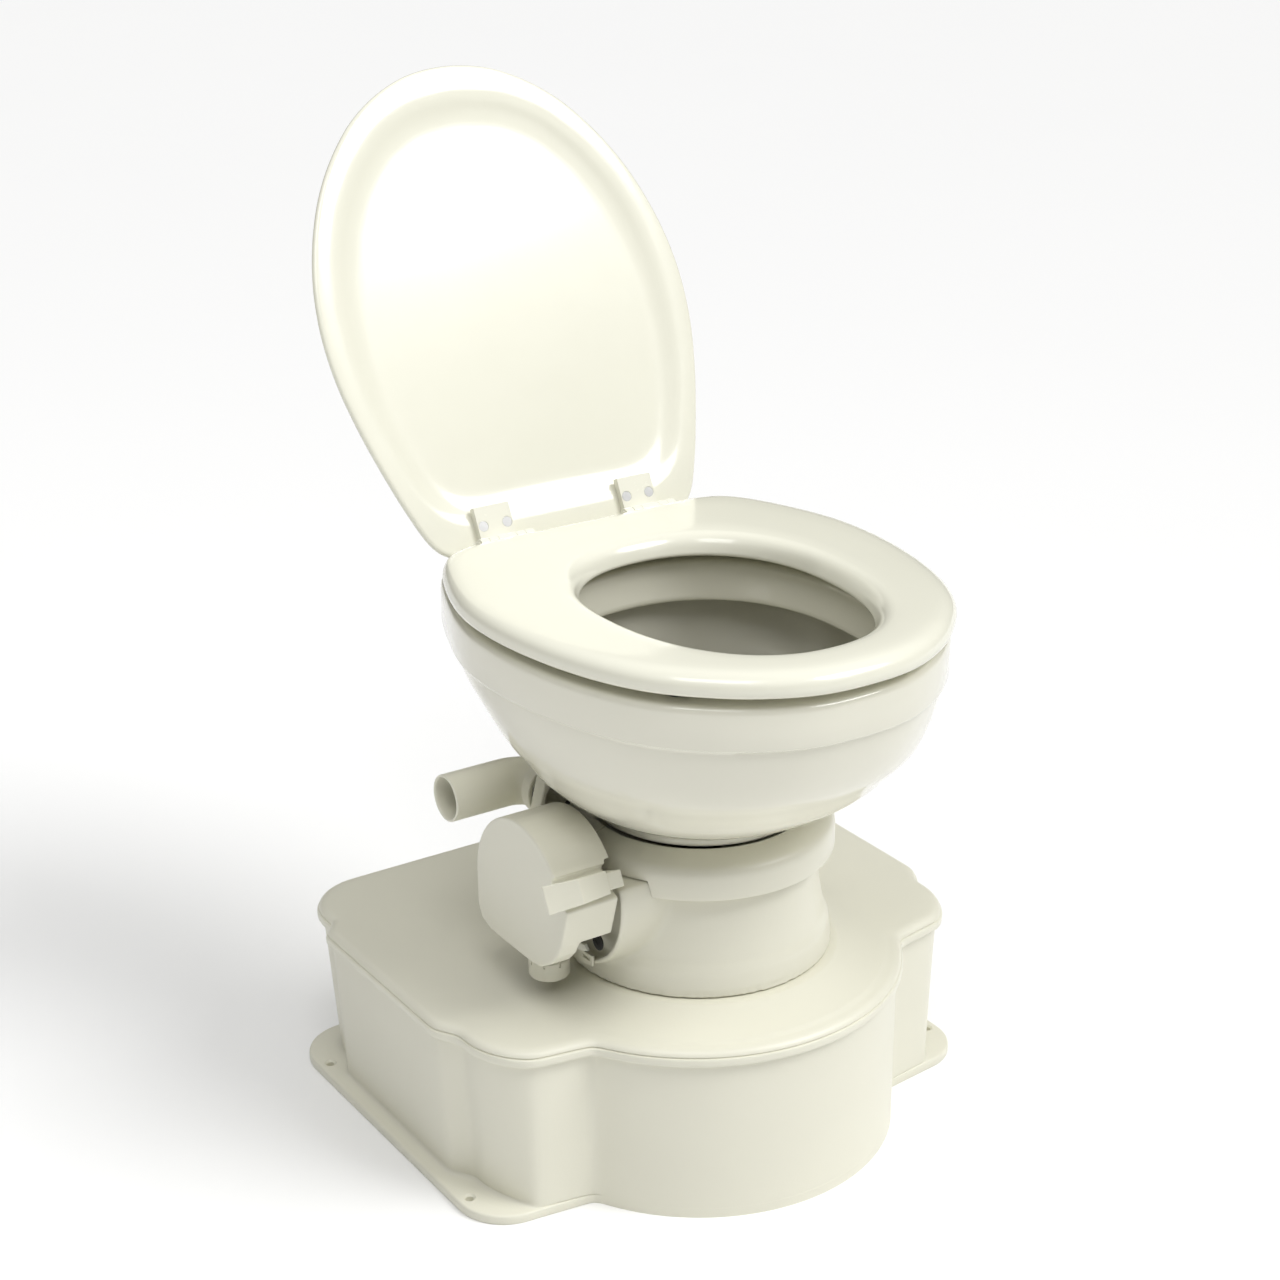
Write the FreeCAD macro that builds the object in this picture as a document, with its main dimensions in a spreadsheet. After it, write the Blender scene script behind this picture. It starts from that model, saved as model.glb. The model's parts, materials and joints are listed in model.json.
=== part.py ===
# Pedestal flush toilet on a low bolt-down holding tank.
# Frame: +Z up, origin on the floor under the pedestal's axis, the seat's front towards -Y, millimetres.
import FreeCAD, Part
import math, os

os.makedirs("parts", exist_ok=True)
doc = FreeCAD.newDocument("toilet")
V = FreeCAD.Vector
X, Y, Z = V(1, 0, 0), V(0, 1, 0), V(0, 0, 1)

# ---------------------------------------------------------------- driving dimensions
sheet = doc.addObject("Spreadsheet::Sheet", "dims")
sheet.Label = "dims"
table = [
    # holding tank
    ("tank_side", 237.0), ("tank_inner", 225.0), ("tank_foot_side", 228.5), ("tank_foot_inner", 216.0),
    ("tank_rear", 266.0), ("tank_foot_rear", 260.0), ("tank_corner", 45.0), ("tank_wall", 4.5),
    ("lip_side", 242.0), ("lip_low", 137.0), ("lip_high", 144.0), ("deck_top", 150.0), ("deck_rise", 163.0),
    ("flange_side", 243.0), ("flange_thick", 8.0), ("bolt_across", 232.8), ("bolt_rear", 215.9), ("bolt_front", 23.8),
    ("bolt_rad", 3.4), ("bulge_rad", 169.0), ("bulge_mid", 7.5), ("bulge_foot_rad", 163.5), ("bulge_foot_mid", 1.5),
    ("throat_rad", 46.0),
    # pedestal
    ("ped_foot_rad", 109.9), ("ped_waist_rad", 96.0), ("ped_waist_z", 249.0), ("band_rad", 110.4), ("band_top", 277.0),
    ("ped_wall", 4.0), ("boss_rad", 65.8), ("boss_end", 116.0), ("shaft_z", 242.0), ("shaft_rad", 8.0), ("bush_rad", 12.0),
    # flush valve
    ("ball_rad", 64.0), ("ball_wall", 4.0), ("seal_bore", 44.0),
    # bowl and seat
    ("bowl_foot_z", 286.0), ("bowl_crease", 415.0), ("bowl_top", 449.0), ("bowl_foot_rad", 81.0), ("bowl_wall", 9.0),
    ("seat_low", 457.0), ("seat_top", 475.0), ("lid_thick", 13.0),
    # hinges
    ("hinge_x", 69.85), ("hinge_y", 174.8), ("hinge_z", 465.0), ("knuckle_rad", 6.15), ("pin_rad", 3.0), ("pin_play", 0.05),
    # side cover and pedal
    ("cover_rad", 65.5), ("cover_face", 168.0), ("cover_wall", 2.6), ("pedal_high", 11.0), ("pedal_thick", 3.2),
    ("drum_rad", 36.0), ("nut_rad", 16.5),
    # outlet elbow
    ("pipe_rad", 19.5), ("pipe_wall", 2.4), ("pipe_y", 100.5), ("pipe_z", 290.5), ("pipe_end", 175.0), ("bend_rad", 27.0), ("collar_rad", 23.6),
    ("lid_lean", 27.5),
]
for i, (name, val) in enumerate(table):
    cell = "B%d" % (i + 1)
    sheet.set("A%d" % (i + 1), name)
    sheet.set(cell, "%g" % val)
    sheet.setAlias(cell, name)
doc.recompute()
D = dict(table)


def g(v):
    """a number, or the value of a cell or of a sum of cells such as 'band_rad - ped_wall'"""
    if isinstance(v, (int, float)):
        return float(v)
    out, sign = 0.0, 1.0
    for w in v.replace("+", " + ").replace("-", " - ").split():
        if w == "+":
            sign = 1.0
        elif w == "-":
            sign = -1.0
        elif "*" in w:
            a, b = w.split("*")
            out += sign * (D[a] if a in D else float(a)) * (D[b] if b in D else float(b))
            sign = 1.0
        else:
            out += sign * (D[w] if w in D else float(w))
            sign = 1.0
    return out


def expr(v):
    out = []
    for w in v.replace("+", " + ").replace("-", " - ").split():
        out.append("*".join(("dims." + k if k in D else k) for k in w.split("*")))
    return " ".join(out)


def bind(obj, prop, v):
    if isinstance(v, str):
        obj.setExpression(prop, expr(v))
    else:
        setattr(obj, prop, v)


kept = []   # the finished sub-parts


def keep(obj, name, place=None):
    for other in doc.Objects:
        if other.Label == name and other is not obj:
            other.Label = name + "_blank"
    obj.Label = name
    if place is not None:
        obj.Placement = place
    kept.append(obj)
    return obj


def place(pos=(0, 0, 0), axis=(0, 0, 1), turn=None):
    """where a primitive made along +Z goes: its base at pos and its length along axis"""
    r = FreeCAD.Rotation(Z, V(*axis))
    if turn:
        r = FreeCAD.Rotation(V(*turn[0]), turn[1]).multiply(r)
    return FreeCAD.Placement(V(*[g(p) for p in pos]), r)


def cyl(rad, high, pos, axis=(0, 0, 1)):
    o = doc.addObject("Part::Cylinder", "cyl")
    bind(o, "Radius", rad)
    bind(o, "Height", high)
    o.Placement = place(pos, axis)
    return o


def cone(r1, r2, high, pos, axis=(0, 0, 1)):
    o = doc.addObject("Part::Cone", "cone")
    bind(o, "Radius1", r1)
    bind(o, "Radius2", r2)
    bind(o, "Height", high)
    o.Placement = place(pos, axis)
    return o


def box(lo, hi):
    o = doc.addObject("Part::Box", "box")
    o.Length, o.Width, o.Height = [g(b) - g(a) for a, b in zip(lo, hi)]
    o.Placement.Base = V(*[g(a) for a in lo])
    return o


def cut(a, *tools):
    for b in tools:
        c = doc.addObject("Part::Cut", "cut")
        c.Base, c.Tool = a, b
        a = c
    return a


def fuse(*parts):
    if len(parts) == 1:
        return parts[0]
    f = doc.addObject("Part::MultiFuse", "fuse")
    f.Shapes = list(parts)
    return f


def common(a, b):
    c = doc.addObject("Part::Common", "common")
    c.Base, c.Tool = a, b
    return c


def group(*parts):
    """several separate solids that are one node, such as a set of the same screws"""
    c = doc.addObject("Part::Compound", "group")
    c.Links = list(parts)
    return c


def feature(shape, name="shape"):
    f = doc.addObject("Part::Feature", name)
    f.Shape = shape
    return f


PLANES = {"XY": "XY_Plane", "XZ": "XZ_Plane", "YZ": "YZ_Plane"}


def sketch(body, plane, polys, circles=(), at=0.0):
    """polygons and circles on one of the body's own origin planes; a coordinate or radius that names a cell is bound to it"""
    sk = body.newObject("Sketcher::SketchObject", "sketch")
    face = [f for f in body.Origin.OriginFeatures if f.Role == PLANES[plane]][0]
    sk.AttachmentSupport = [(face, "")]
    sk.MapMode = "FlatFace"
    if at:
        sk.AttachmentOffset = FreeCAD.Placement(V(0, 0, at), FreeCAD.Rotation())
    import Sketcher
    for pts in polys:
        n = len(pts)
        first = sk.GeometryCount
        p = [V(g(a), g(b), 0) for a, b in pts]
        sk.addGeometry([Part.LineSegment(p[i], p[(i + 1) % n]) for i in range(n)], False)
        for i in range(n):
            sk.addConstraint(Sketcher.Constraint("Coincident", first + i, 2, first + (i + 1) % n, 1))
        for i, (a, b) in enumerate(pts):
            for kind, v in (("DistanceX", a), ("DistanceY", b)):
                if isinstance(v, str) and g(v) > 1e-6:
                    c = sk.addConstraint(Sketcher.Constraint(kind, -1, 1, first + i, 1, g(v)))
                    sk.setExpression("Constraints[%d]" % c, expr(v))
    for x, y, r in circles:
        k = sk.addGeometry(Part.Circle(V(g(x), g(y), 0), Z, g(r)), False)
        c = sk.addConstraint(Sketcher.Constraint("Radius", k, g(r)))
        if isinstance(r, str):
            sk.setExpression("Constraints[%d]" % c, expr(r))
    return sk


def turned(name, pts, pos=(0, 0, 0), axis=(0, 0, 1), angle=360.0):
    """a body turned about its own Z from a profile of (radius, height) points"""
    b = doc.addObject("PartDesign::Body", name)
    sk = sketch(b, "XZ", [pts])
    r = b.newObject("PartDesign::Revolution", "turn")
    r.Profile = sk
    r.ReferenceAxis = (sk, ["V_Axis"])
    r.Angle = angle
    if angle != 360.0:
        r.Midplane = True
    b.Tip = r
    b.Placement = place(pos, axis)
    return b


def plate(name, plane, polys, length, at=0.0, circles=(), mid=False, back=False):
    """a body padded from a flat outline"""
    b = doc.addObject("PartDesign::Body", name)
    sk = sketch(b, plane, polys, circles, at)
    p = b.newObject("PartDesign::Pad", "pad")
    p.Profile = sk
    bind(p, "Length", length)
    p.Midplane = mid
    p.Reversed = back
    b.Tip = p
    return b


def dress(body, kind, size, pick):
    """a fillet or chamfer on the edges that pick() chooses from the body's last feature"""
    doc.recompute()
    tip = body.Tip
    names = ["Edge%d" % (i + 1) for i, e in enumerate(tip.Shape.Edges) if pick(e)]
    if not names:
        return body
    f = body.newObject("PartDesign::" + kind, kind.lower())
    f.Base = (tip, names)
    if kind == "Fillet":
        bind(f, "Radius", size)
    else:
        bind(f, "Size", size)
    body.Tip = f
    doc.recompute()
    if "Invalid" in f.State or "Error" in f.State or f.Shape.isNull() or not f.Shape.isValid():
        body.removeObject(f)
        doc.removeObject(f.Name)
        body.Tip = tip
    return body


def even(pts, n=56):
    """points spread evenly along a closed outline"""
    q = pts + pts[:1]
    run = [0.0]
    for a, b in zip(q, q[1:]):
        run.append(run[-1] + math.hypot(b[0] - a[0], b[1] - a[1]))
    out, k = [], 0
    for i in range(n):
        t = run[-1] * i / n
        while run[k + 1] < t:
            k += 1
        f = (t - run[k]) / (run[k + 1] - run[k])
        out.append((q[k][0] + f * (q[k + 1][0] - q[k][0]), q[k][1] + f * (q[k + 1][1] - q[k][1])))
    return out


def smooth(pts, z, closed=True):
    c = Part.BSplineCurve()
    c.interpolate([V(x, y, z) for x, y in pts], PeriodicFlag=closed)
    return Part.Wire([c.toShape()])


def loft(wires, name="loft", ruled=False):
    return feature(Part.makeLoft(wires, True, ruled), name)


# ---------------------------------------------------------------- holding tank
def tank_wire(xs, xi, yr, rc, rb, yb, z, ins=0.0):
    """plan outline of the tank: straight rear, corners set in beside the bolts, short wings and a round front"""
    xs, xi, yr, rb = xs - ins, xi - ins, yr - ins, rb - ins
    rc = max(rc - ins, 5)
    y1, y0 = 196.0 - ins * 0.4, 8.0 + ins * 0.4
    yw, xw, xj = -66.0 + ins, 196.0 - ins * 0.6, 150.0 - ins * 0.6
    yf = -18.0 + ins * 0.3
    a = math.atan2(-math.sqrt(max(rb * rb - (xj - 6) ** 2, 1)), xj - 6)
    bj = (rb * math.cos(a), yb + rb * math.sin(a))
    right = [("L", (xi - rc, yr)), ("A", (xi - rc + rc * math.sin(math.radians(45)), yr - rc + rc * math.cos(math.radians(45))), (xi, yr - rc)),
             ("L", (xi, y1 + 10)), ("L", (xs, y1 - 4)), ("L", (xs, y0 + 6)), ("L", (xi, y0 - 14)), ("L", (xi, yf)),
             ("A", (xi - 8.5, yf - 28), (xw, yw)), ("L", (xj, yw - 8)), ("L", bj)]
    edges, p = [], (-(xi - rc), yr)
    for s in right:
        if s[0] == "L":
            q = s[1]
            edges.append(Part.makeLine(V(p[0], p[1], z), V(q[0], q[1], z)))
        else:
            q = s[2]
            edges.append(Part.Arc(V(p[0], p[1], z), V(s[1][0], s[1][1], z), V(q[0], q[1], z)).toShape())
        p = q
    edges.append(Part.Arc(V(p[0], p[1], z), V(0, yb - rb, z), V(-p[0], p[1], z)).toShape())
    prev = [(-(xi - rc), yr)] + [s[-1] for s in right]
    for k in range(len(right) - 1, 0, -1):
        a0, b0 = prev[k + 1], prev[k]
        s = right[k]
        if s[0] == "L":
            edges.append(Part.makeLine(V(-a0[0], a0[1], z), V(-b0[0], b0[1], z)))
        else:
            edges.append(Part.Arc(V(-a0[0], a0[1], z), V(-s[1][0], s[1][1], z), V(-b0[0], b0[1], z)).toShape())
    return Part.Wire(edges)


def tank_at(k, z, ins=0.0):
    """the outline at a height: k is 0 at the floor and 1 under the lip"""
    m = lambda a, b: D[a] * (1 - k) + D[b] * k
    return tank_wire(m("tank_foot_side", "tank_side"), m("tank_foot_inner", "tank_inner"), m("tank_foot_rear", "tank_rear"), D["tank_corner"],
                     m("bulge_foot_rad", "bulge_rad"), m("bulge_foot_mid", "bulge_mid") * (1 if k else -1), z, ins)


lipx = D["lip_side"] - D["tank_side"]
w = D["tank_wall"]
wall_out = loft([tank_at(0, 0), tank_at(1, g("lip_low"))], "tank_wall_outer", True)
lip = feature(Part.Face(tank_at(1, g("lip_low"), -lipx)).extrude(V(0, 0, g("lip_high - lip_low"))), "tank_lip")
shoulder = loft([tank_at(1, g("lip_high"), -lipx + 1), tank_at(1, g("lip_high") + 4.2, -lipx + 3), tank_at(1, g("deck_top"), -lipx + 9)], "tank_shoulder", True)
flare = turned("tank_flare", [(40, 145), (178, 145), (172, "deck_top"), (150, 151.6), (132, 155.5), (120, 160), (113, "deck_rise"), (40, "deck_rise")], (0, -3, 0))
flare_cut = common(flare, feature(Part.Face(tank_at(1, 144.0, -lipx + 6)).extrude(V(0, 0, 30)), "flare_limit"))
fl = feature(Part.Face(Part.Wire([
    Part.makeLine(V(-198, 271, 0), V(198, 271, 0)), Part.Arc(V(198, 271, 0), V(229.8, 257.8, 0), V(D["flange_side"], 226, 0)).toShape(),
    Part.makeLine(V(D["flange_side"], 226, 0), V(D["flange_side"], -24, 0)), Part.Arc(V(D["flange_side"], -24, 0), V(231, -55, 0), V(200, -68, 0)).toShape(),
    Part.makeLine(V(200, -68, 0), V(150, -74, 0)), Part.makeLine(V(150, -74, 0), V(-150, -74, 0)), Part.makeLine(V(-150, -74, 0), V(-200, -68, 0)),
    Part.Arc(V(-200, -68, 0), V(-231, -55, 0), V(-D["flange_side"], -24, 0)).toShape(), Part.makeLine(V(-D["flange_side"], -24, 0), V(-D["flange_side"], 226, 0)),
    Part.Arc(V(-D["flange_side"], 226, 0), V(-229.8, 257.8, 0), V(-198, 271, 0)).toShape()])).extrude(V(0, 0, g("flange_thick"))), "tank_flange")
hollow = loft([tank_at(0.04, 5.0, w), tank_at(1, g("lip_high"), w)], "tank_hollow", True)
throat = cyl("throat_rad", 60, (0, 0, 120))
bolts = [cyl("bolt_rad", 20, (sx * D["bolt_across"], y, -5)) for sx in (-1, 1) for y in (D["bolt_rear"], -D["bolt_front"])]
keep(cut(fuse(wall_out, lip, shoulder, flare_cut, fl), hollow, throat, *bolts), "tank_body")

# closet flange inside the pedestal's foot, screwed to the deck, and its seal
keep(cut(turned("deck_flange", [("throat_rad", "deck_rise + 0.3"), (84, "deck_rise + 0.3"), (84, "deck_rise + 7"), (56, "deck_rise + 7"), (52, "deck_rise + 22"), ("throat_rad", "deck_rise + 22")]),
         *[cyl(2.6, 30, (72 * math.cos(a), 72 * math.sin(a), 160)) for a in [math.radians(45 + 90 * i) for i in range(4)]]), "deck_flange")
keep(group(*[fuse(cone(4.6, 3.0, 3.2, (72 * math.cos(a), 72 * math.sin(a), g("deck_rise") + 10.3), (0, 0, 1)),
                  cyl(4.6, 3.0, (72 * math.cos(a), 72 * math.sin(a), g("deck_rise") + 7.3)),
                  cyl(2.4, 10, (72 * math.cos(a), 72 * math.sin(a), g("deck_rise") + 0.3)))
             for a in [math.radians(45 + 90 * i) for i in range(4)]]), "flange_screws")
keep(turned("foot_seal", [(86, "deck_rise + 0.3"), (97, "deck_rise + 0.3"), (97, "deck_rise + 6"), (86, "deck_rise + 6")]), "foot_seal")

# ---------------------------------------------------------------- pedestal
ped = turned("pedestal_turned", [(100, "deck_rise + 0.3"), ("ped_foot_rad", "deck_rise + 0.3"), ("ped_foot_rad - 0.4", 165.4), ("ped_foot_rad - 3", 166.2), ("ped_foot_rad - 3", 167.2),
                                 ("ped_foot_rad - 0.8", 168.2), ("ped_foot_rad - 2.5", 184), ("ped_foot_rad - 6.5", 192), ("ped_waist_rad + 3", 215), ("ped_waist_rad", "ped_waist_z"),
                                 ("ped_waist_rad", 262), ("ped_waist_rad - 6", 268), (84, 272), (66, 274), (66, 268), ("ped_waist_rad - 12", 264), ("ped_waist_rad - 4", 256),
                                 ("ped_waist_rad - 4", 246), ("ped_waist_rad - 1", 214), (99, 190), (100, 180)])
boss = fuse(cyl("boss_rad", 60, ("0 - boss_end", 0, "shaft_z"), (1, 0, 0)))
boss_limit = box((-130, -80, 172), (-50, 80, 262))
boss_keep = common(boss, boss_limit)
ped_in = turned("pedestal_hollow", [(0, 150), (98, 150), (99, 190), (95, 214), (92, 246), (92, 256), (84, 264), (66, 268), (66, 300), (0, 300)])
pocket = cyl("boss_rad - ped_wall", 12, ("0 - boss_end - 1", 0, "shaft_z"), (1, 0, 0))
pocket_k = common(pocket, box((-130, -80, 176), (-50, 80, 258)))
screw_at = ((58.5, 262), (59.5, 222))
screw_holes = lambda: [cyl(2.7, 14, (-123, y, z), (1, 0, 0)) for y, z in screw_at]
ped_body = cut(fuse(ped, boss_keep), ped_in, pocket_k, cyl("bush_rad", 60, (-130, 0, "shaft_z"), (1, 0, 0)), cyl(5.0, 25, (80, 0, "shaft_z"), (1, 0, 0)), *screw_holes())
keep(ped_body, "pedestal")

# upper clamp band in a front and a rear half
band = [("ped_waist_rad + 0.3", "ped_waist_z"), ("band_rad - 1.2", "ped_waist_z"), ("band_rad", "ped_waist_z + 2"), ("band_rad", 268), ("band_rad - 1.5", 273), ("band_rad - 6", "band_top"),
        ("band_rad - 15", 281), (88, 283.6), (88, 280), ("band_rad - 14", 276), ("band_rad - 8", 271), ("ped_waist_rad + 0.3", 268)]
for name, ang in (("clamp_band_front", 180), ("clamp_band_rear", 0)):
    b = turned(name, band, angle=179.4)
    doc.recompute()
    # the half turn is centred on the profile's plane (+X), so it is turned to face -Y or +Y
    b.Placement = FreeCAD.Placement(V(0, 0, 0), FreeCAD.Rotation(Z, -90 if ang == 180 else 90))
    slot = common(cyl("boss_rad + 0.5", 70, (-130, 0, "shaft_z"), (1, 0, 0)), box((-130, -70 if ang == 180 else -1, 240), (-60, 1 if ang == 180 else 70, 263)))
    if ang == 180:
        keep(cut(b, slot), name)
    else:   # scalloped where the elbow's collar comes down beside it
        keep(cut(b, slot, cyl("collar_rad + 0.7", 28, (-95, 57, "pipe_z"), (0, 1, 0)), *screw_holes()), name)

# ---------------------------------------------------------------- flush valve
keep(turned("ball_seal_upper", [("seal_bore", 290.2), (64, 290.2), (64, 285.6), (49.5, 285.6), ("seal_bore", 288.6)]), "ball_seal_upper")
keep(cut(turned("seal_retainer", [(50, 285.3), (64, 285.3), (64, 276), (60, 276), (56, 280), (50, 283.4)])), "seal_retainer")
rb_out, rb_in = D["ball_rad"], D["ball_rad"] - D["ball_wall"]
ball = lambda r: feature(Part.makeSphere(r, V(0, 0, D["shaft_z"]), X), "ball")
ball_hubs = lambda: [cyl(12, 11, (-66, 0, "shaft_z"), (1, 0, 0)), cyl(12, 11, (55, 0, "shaft_z"), (1, 0, 0))]
cap = feature(Part.makeCone(0.0, 80.0 * math.tan(math.radians(49)), 80.0, V(0, 0, D["shaft_z"])), "ball_cap_limit")
ball_solid = common(ball(rb_out), fuse(cap, box((-66, -13, 236), (66, 13, 290)), *ball_hubs()))
keep(cut(ball_solid, cut(ball(rb_in), fuse(*ball_hubs())), cyl("shaft_rad - 2", 30, (-75, 0, "shaft_z"), (1, 0, 0)), cyl(5.0, 30, (50, 0, "shaft_z"), (1, 0, 0))), "flush_ball")
keep(fuse(cyl("shaft_rad - 2", 12, (-66, 0, "shaft_z"), (1, 0, 0)), cyl("shaft_rad", 78.5, (-144.5, 0, "shaft_z"), (1, 0, 0)), box((-150, -4, 238), (-144, 4, 246))), "flush_shaft")
keep(fuse(cyl(4.95, 44, (54.5, 0, "shaft_z"), (1, 0, 0)), cyl(8, 3, (66, 0, "shaft_z"), (1, 0, 0))), "pivot_stub")
keep(cut(fuse(cyl("bush_rad - 0.05", 42, (-108, 0, "shaft_z"), (1, 0, 0)), cyl(15.8, 2.7, (-108.0, 0, "shaft_z"), (1, 0, 0))), cyl("shaft_rad + 0.05", 60, (-115, 0, "shaft_z"), (1, 0, 0))), "shaft_bush")
# ---------------------------------------------------------------- china bowl
def egg(half, rear, front, mid, n=48, p=2.25, rear_p=None):
    """closed plan outline, half wide, from y=rear to y=front with its widest line at y=mid; p over 2 squares it up"""
    out = []
    for i in range(n):
        t = 2 * math.pi * i / n
        c, s_ = math.cos(t), math.sin(t)
        q = (rear_p or p) if s_ > 0 else p
        x = half * (abs(c) ** (2 / q)) * (1 if c >= 0 else -1)
        y = mid + ((rear - mid) if s_ > 0 else (mid - front)) * (abs(s_) ** (2 / q)) * (1 if s_ >= 0 else -1)
        out.append((x, y))
    return out


def mix(a, b, k):
    return [(p[0] * k + q[0] * (1 - k), p[1] * k + q[1] * (1 - k)) for p, q in zip(a, b)]


def ring(rad, y0=0.0, n=48):
    return [(rad * math.cos(2 * math.pi * i / n), y0 + rad * math.sin(2 * math.pi * i / n)) for i in range(n)]


def around(pts, n=64):
    """the same outline as n points at even angles about the origin"""
    q = sorted((math.atan2(y, x) % (2 * math.pi), math.hypot(x, y)) for x, y in pts)
    q = [(q[-1][0] - 2 * math.pi, q[-1][1])] + q + [(q[0][0] + 2 * math.pi, q[0][1])]
    out, k = [], 0
    for i in range(n):
        t = 2 * math.pi * i / n
        while q[k + 1][0] < t:
            k += 1
        f = (t - q[k][0]) / (q[k + 1][0] - q[k][0])
        r = q[k][1] + f * (q[k + 1][1] - q[k][1])
        out.append((r * math.cos(t), r * math.sin(t)))
    return out


def both(half_pts):
    """a closed outline from its right half, given from front to rear as (y, half width)"""
    return [(w_, y) for y, w_ in half_pts] + [(-w_, y) for y, w_ in reversed(half_pts[1:-1])]


def inset(pts, d, mid=(0.0, -10.0)):
    out = []
    for x, y in pts:
        r = math.hypot(x - mid[0], y - mid[1])
        out.append((mid[0] + (x - mid[0]) * (1 - d / r), mid[1] + (y - mid[1]) * (1 - d / r)))
    return out


rim_half = [(-208, 0), (-207.5, 19), (-205, 38), (-199, 58), (-191, 74), (-181.5, 91), (-171, 105), (-158, 119), (-146, 132), (-130, 143), (-111, 153), (-92, 160.5), (-67, 168.5), (-42, 174), (-10, 178), (24, 179), (47, 178),
            (76, 172.5), (105, 163), (125, 155.5), (145, 147), (165, 138), (178, 130), (186, 121), (190.5, 108), (192, 90), (192, 45), (192, 0)]
E = around(both(rim_half))
low = around(egg(179, 137, -206, -6, n=240))
foot = around([(81 * math.cos(i * math.pi / 120), -2 + 81 * math.sin(i * math.pi / 120)) for i in range(240)])
prof = [(302.0, 0.20, 0.0), (308, 0.33, 0.0), (318, 0.46, 0.0), (330, 0.58, 0.0), (345, 0.69, 0.08), (362, 0.81, 0.25), (382, 0.893, 0.6), (400, 0.95, 0.9), (g("bowl_crease"), 0.985, 1.0)]
bowl_low = loft([smooth(mix(mix(E, low, r_), foot, k), z) for z, k, r_ in prof], "bowl_low")
bowl_foot = turned("bowl_foot", [(0, 284.4), (84, 284.4), (86, 286.4), (86, 290), (82, 294), (82, 296), (92, 303), (60, 303), (0, 303)], (0, -1.5, 0))
bowl_rim = loft([smooth(E, g("bowl_crease")), smooth(E, g("bowl_top") - 4)], "bowl_rim", True)
bowl_lip = loft([smooth(E, g("bowl_top") - 4), smooth(inset(E, 1.5), g("bowl_top") - 1.4), smooth(inset(E, 5), g("bowl_top"))], "bowl_lip", True)
wi = around(egg(152, 114, -193, -15, n=240))
c46 = around(egg(46, 46, -46, 0, n=240, p=2))
c50 = around(egg(50, 50, -50, 0, n=240, p=2))
well = [smooth(c46, 286), smooth(c46, 292)] + [smooth(mix(wi, c50, k), z) for z, k in ((298, 0.13), (306, 0.3), (318, 0.46), (335, 0.63), (356, 0.79), (380, 0.9), (402, 0.97), (418, 0.99))]
bowl_well = loft(well, "bowl_well")
mouth = loft([smooth(inset(around(egg(115, 100, -178, -28, n=240)), -1.5), 414), smooth(around(egg(115, 100, -178, -28, n=240)), 440), smooth(inset(around(egg(115, 100, -178, -28, n=240)), -4), g("bowl_top") + 1)], "bowl_mouth")
bowl_bolt = [cyl(4.6, 60, (s * D["hinge_x"], 172.5, g("bowl_top") - 50)) for s in (-1, 1)]
under = box((-104, 132, 385), (104, 183, g("bowl_top") - 13))
under_k = cut(common(under, feature(Part.Face(smooth(inset(E, 9), 380)).extrude(V(0, 0, 60)), "under_limit")), feature(Part.Face(smooth(around(egg(166, 126, -205, -15, n=240)), 380)).extrude(V(0, 0, 70)), "well_wall"))
open_below = box((-96, 142, 330), (96, 174, 400))
seal_seat = cyl(64.4, 8, (0, 0, 283))
bore = cyl("seal_bore + 2", 20, (0, 0, 280))
collar_room = cyl("collar_rad + 0.7", 28, (-95, 57, "pipe_z"), (0, 1, 0))
keep(cut(fuse(bowl_low, bowl_foot, bowl_rim, bowl_lip), bowl_well, mouth, under_k, open_below, seal_seat, bore, collar_room, *bowl_bolt), "bowl")
bowl_room = [loft([smooth(inset(mix(mix(E, low, r_), foot, k), -0.8, (0, 0)), z) for z, k, r_ in prof], "bowl_room"), turned("bowl_foot_room", [(0, 280), (86.8, 280), (86.8, 298.2), (93.2, 302.6), (93.2, 304.2), (0, 304.2)], (0, -1.5, 0))]

# ---------------------------------------------------------------- seat, in its lowered place
seat_half = [(-215, 0), (-214.5, 19), (-212, 38), (-205.5, 58), (-197.5, 74), (-187.5, 91), (-177, 105), (-163, 119), (-151, 132), (-134, 144), (-114, 155), (-94, 163), (-68, 171), (-42, 176.5), (-10, 181), (24, 182.3), (47, 181),
             (76, 175), (100, 167), (120, 159), (137, 151), (150, 143), (160, 133), (165.5, 120), (167.5, 104), (167.5, 60), (167.5, 30), (167.5, 0)]
so = around(both(seat_half))
zl, zt = g("seat_low"), g("seat_top")
seat_out = loft([smooth(inset(so, 4), zl), smooth(inset(so, 0.6), zl + 2.5), smooth(so, zl + 6), smooth(inset(so, 0.8), zl + 10), smooth(inset(so, 4), zl + 14), smooth(inset(so, 9), zl + 17), smooth(inset(so, 15), zt)], "seat_outer", True)
grow = lambda d: around(egg(100 + d, 88 + d, -163 - d, -25, n=240, p=2.2))
seat_in = loft([smooth(grow(2), zl - 1), smooth(grow(0), zl + 3), smooth(grow(1), zl + 8), smooth(grow(4), zl + 13), smooth(grow(11), zt + 0.5)], "seat_opening", True)
keep(cut(seat_out, seat_in), "seat")
bump = [(-142, -40), (142, -40), (-112, -132), (112, -132)]
keep(group(*[fuse(cyl(8, zl - g("bowl_top") - 0.3, (x, y, g("bowl_top") + 0.3))) for x, y in bump]), "seat_bumpers")

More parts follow.
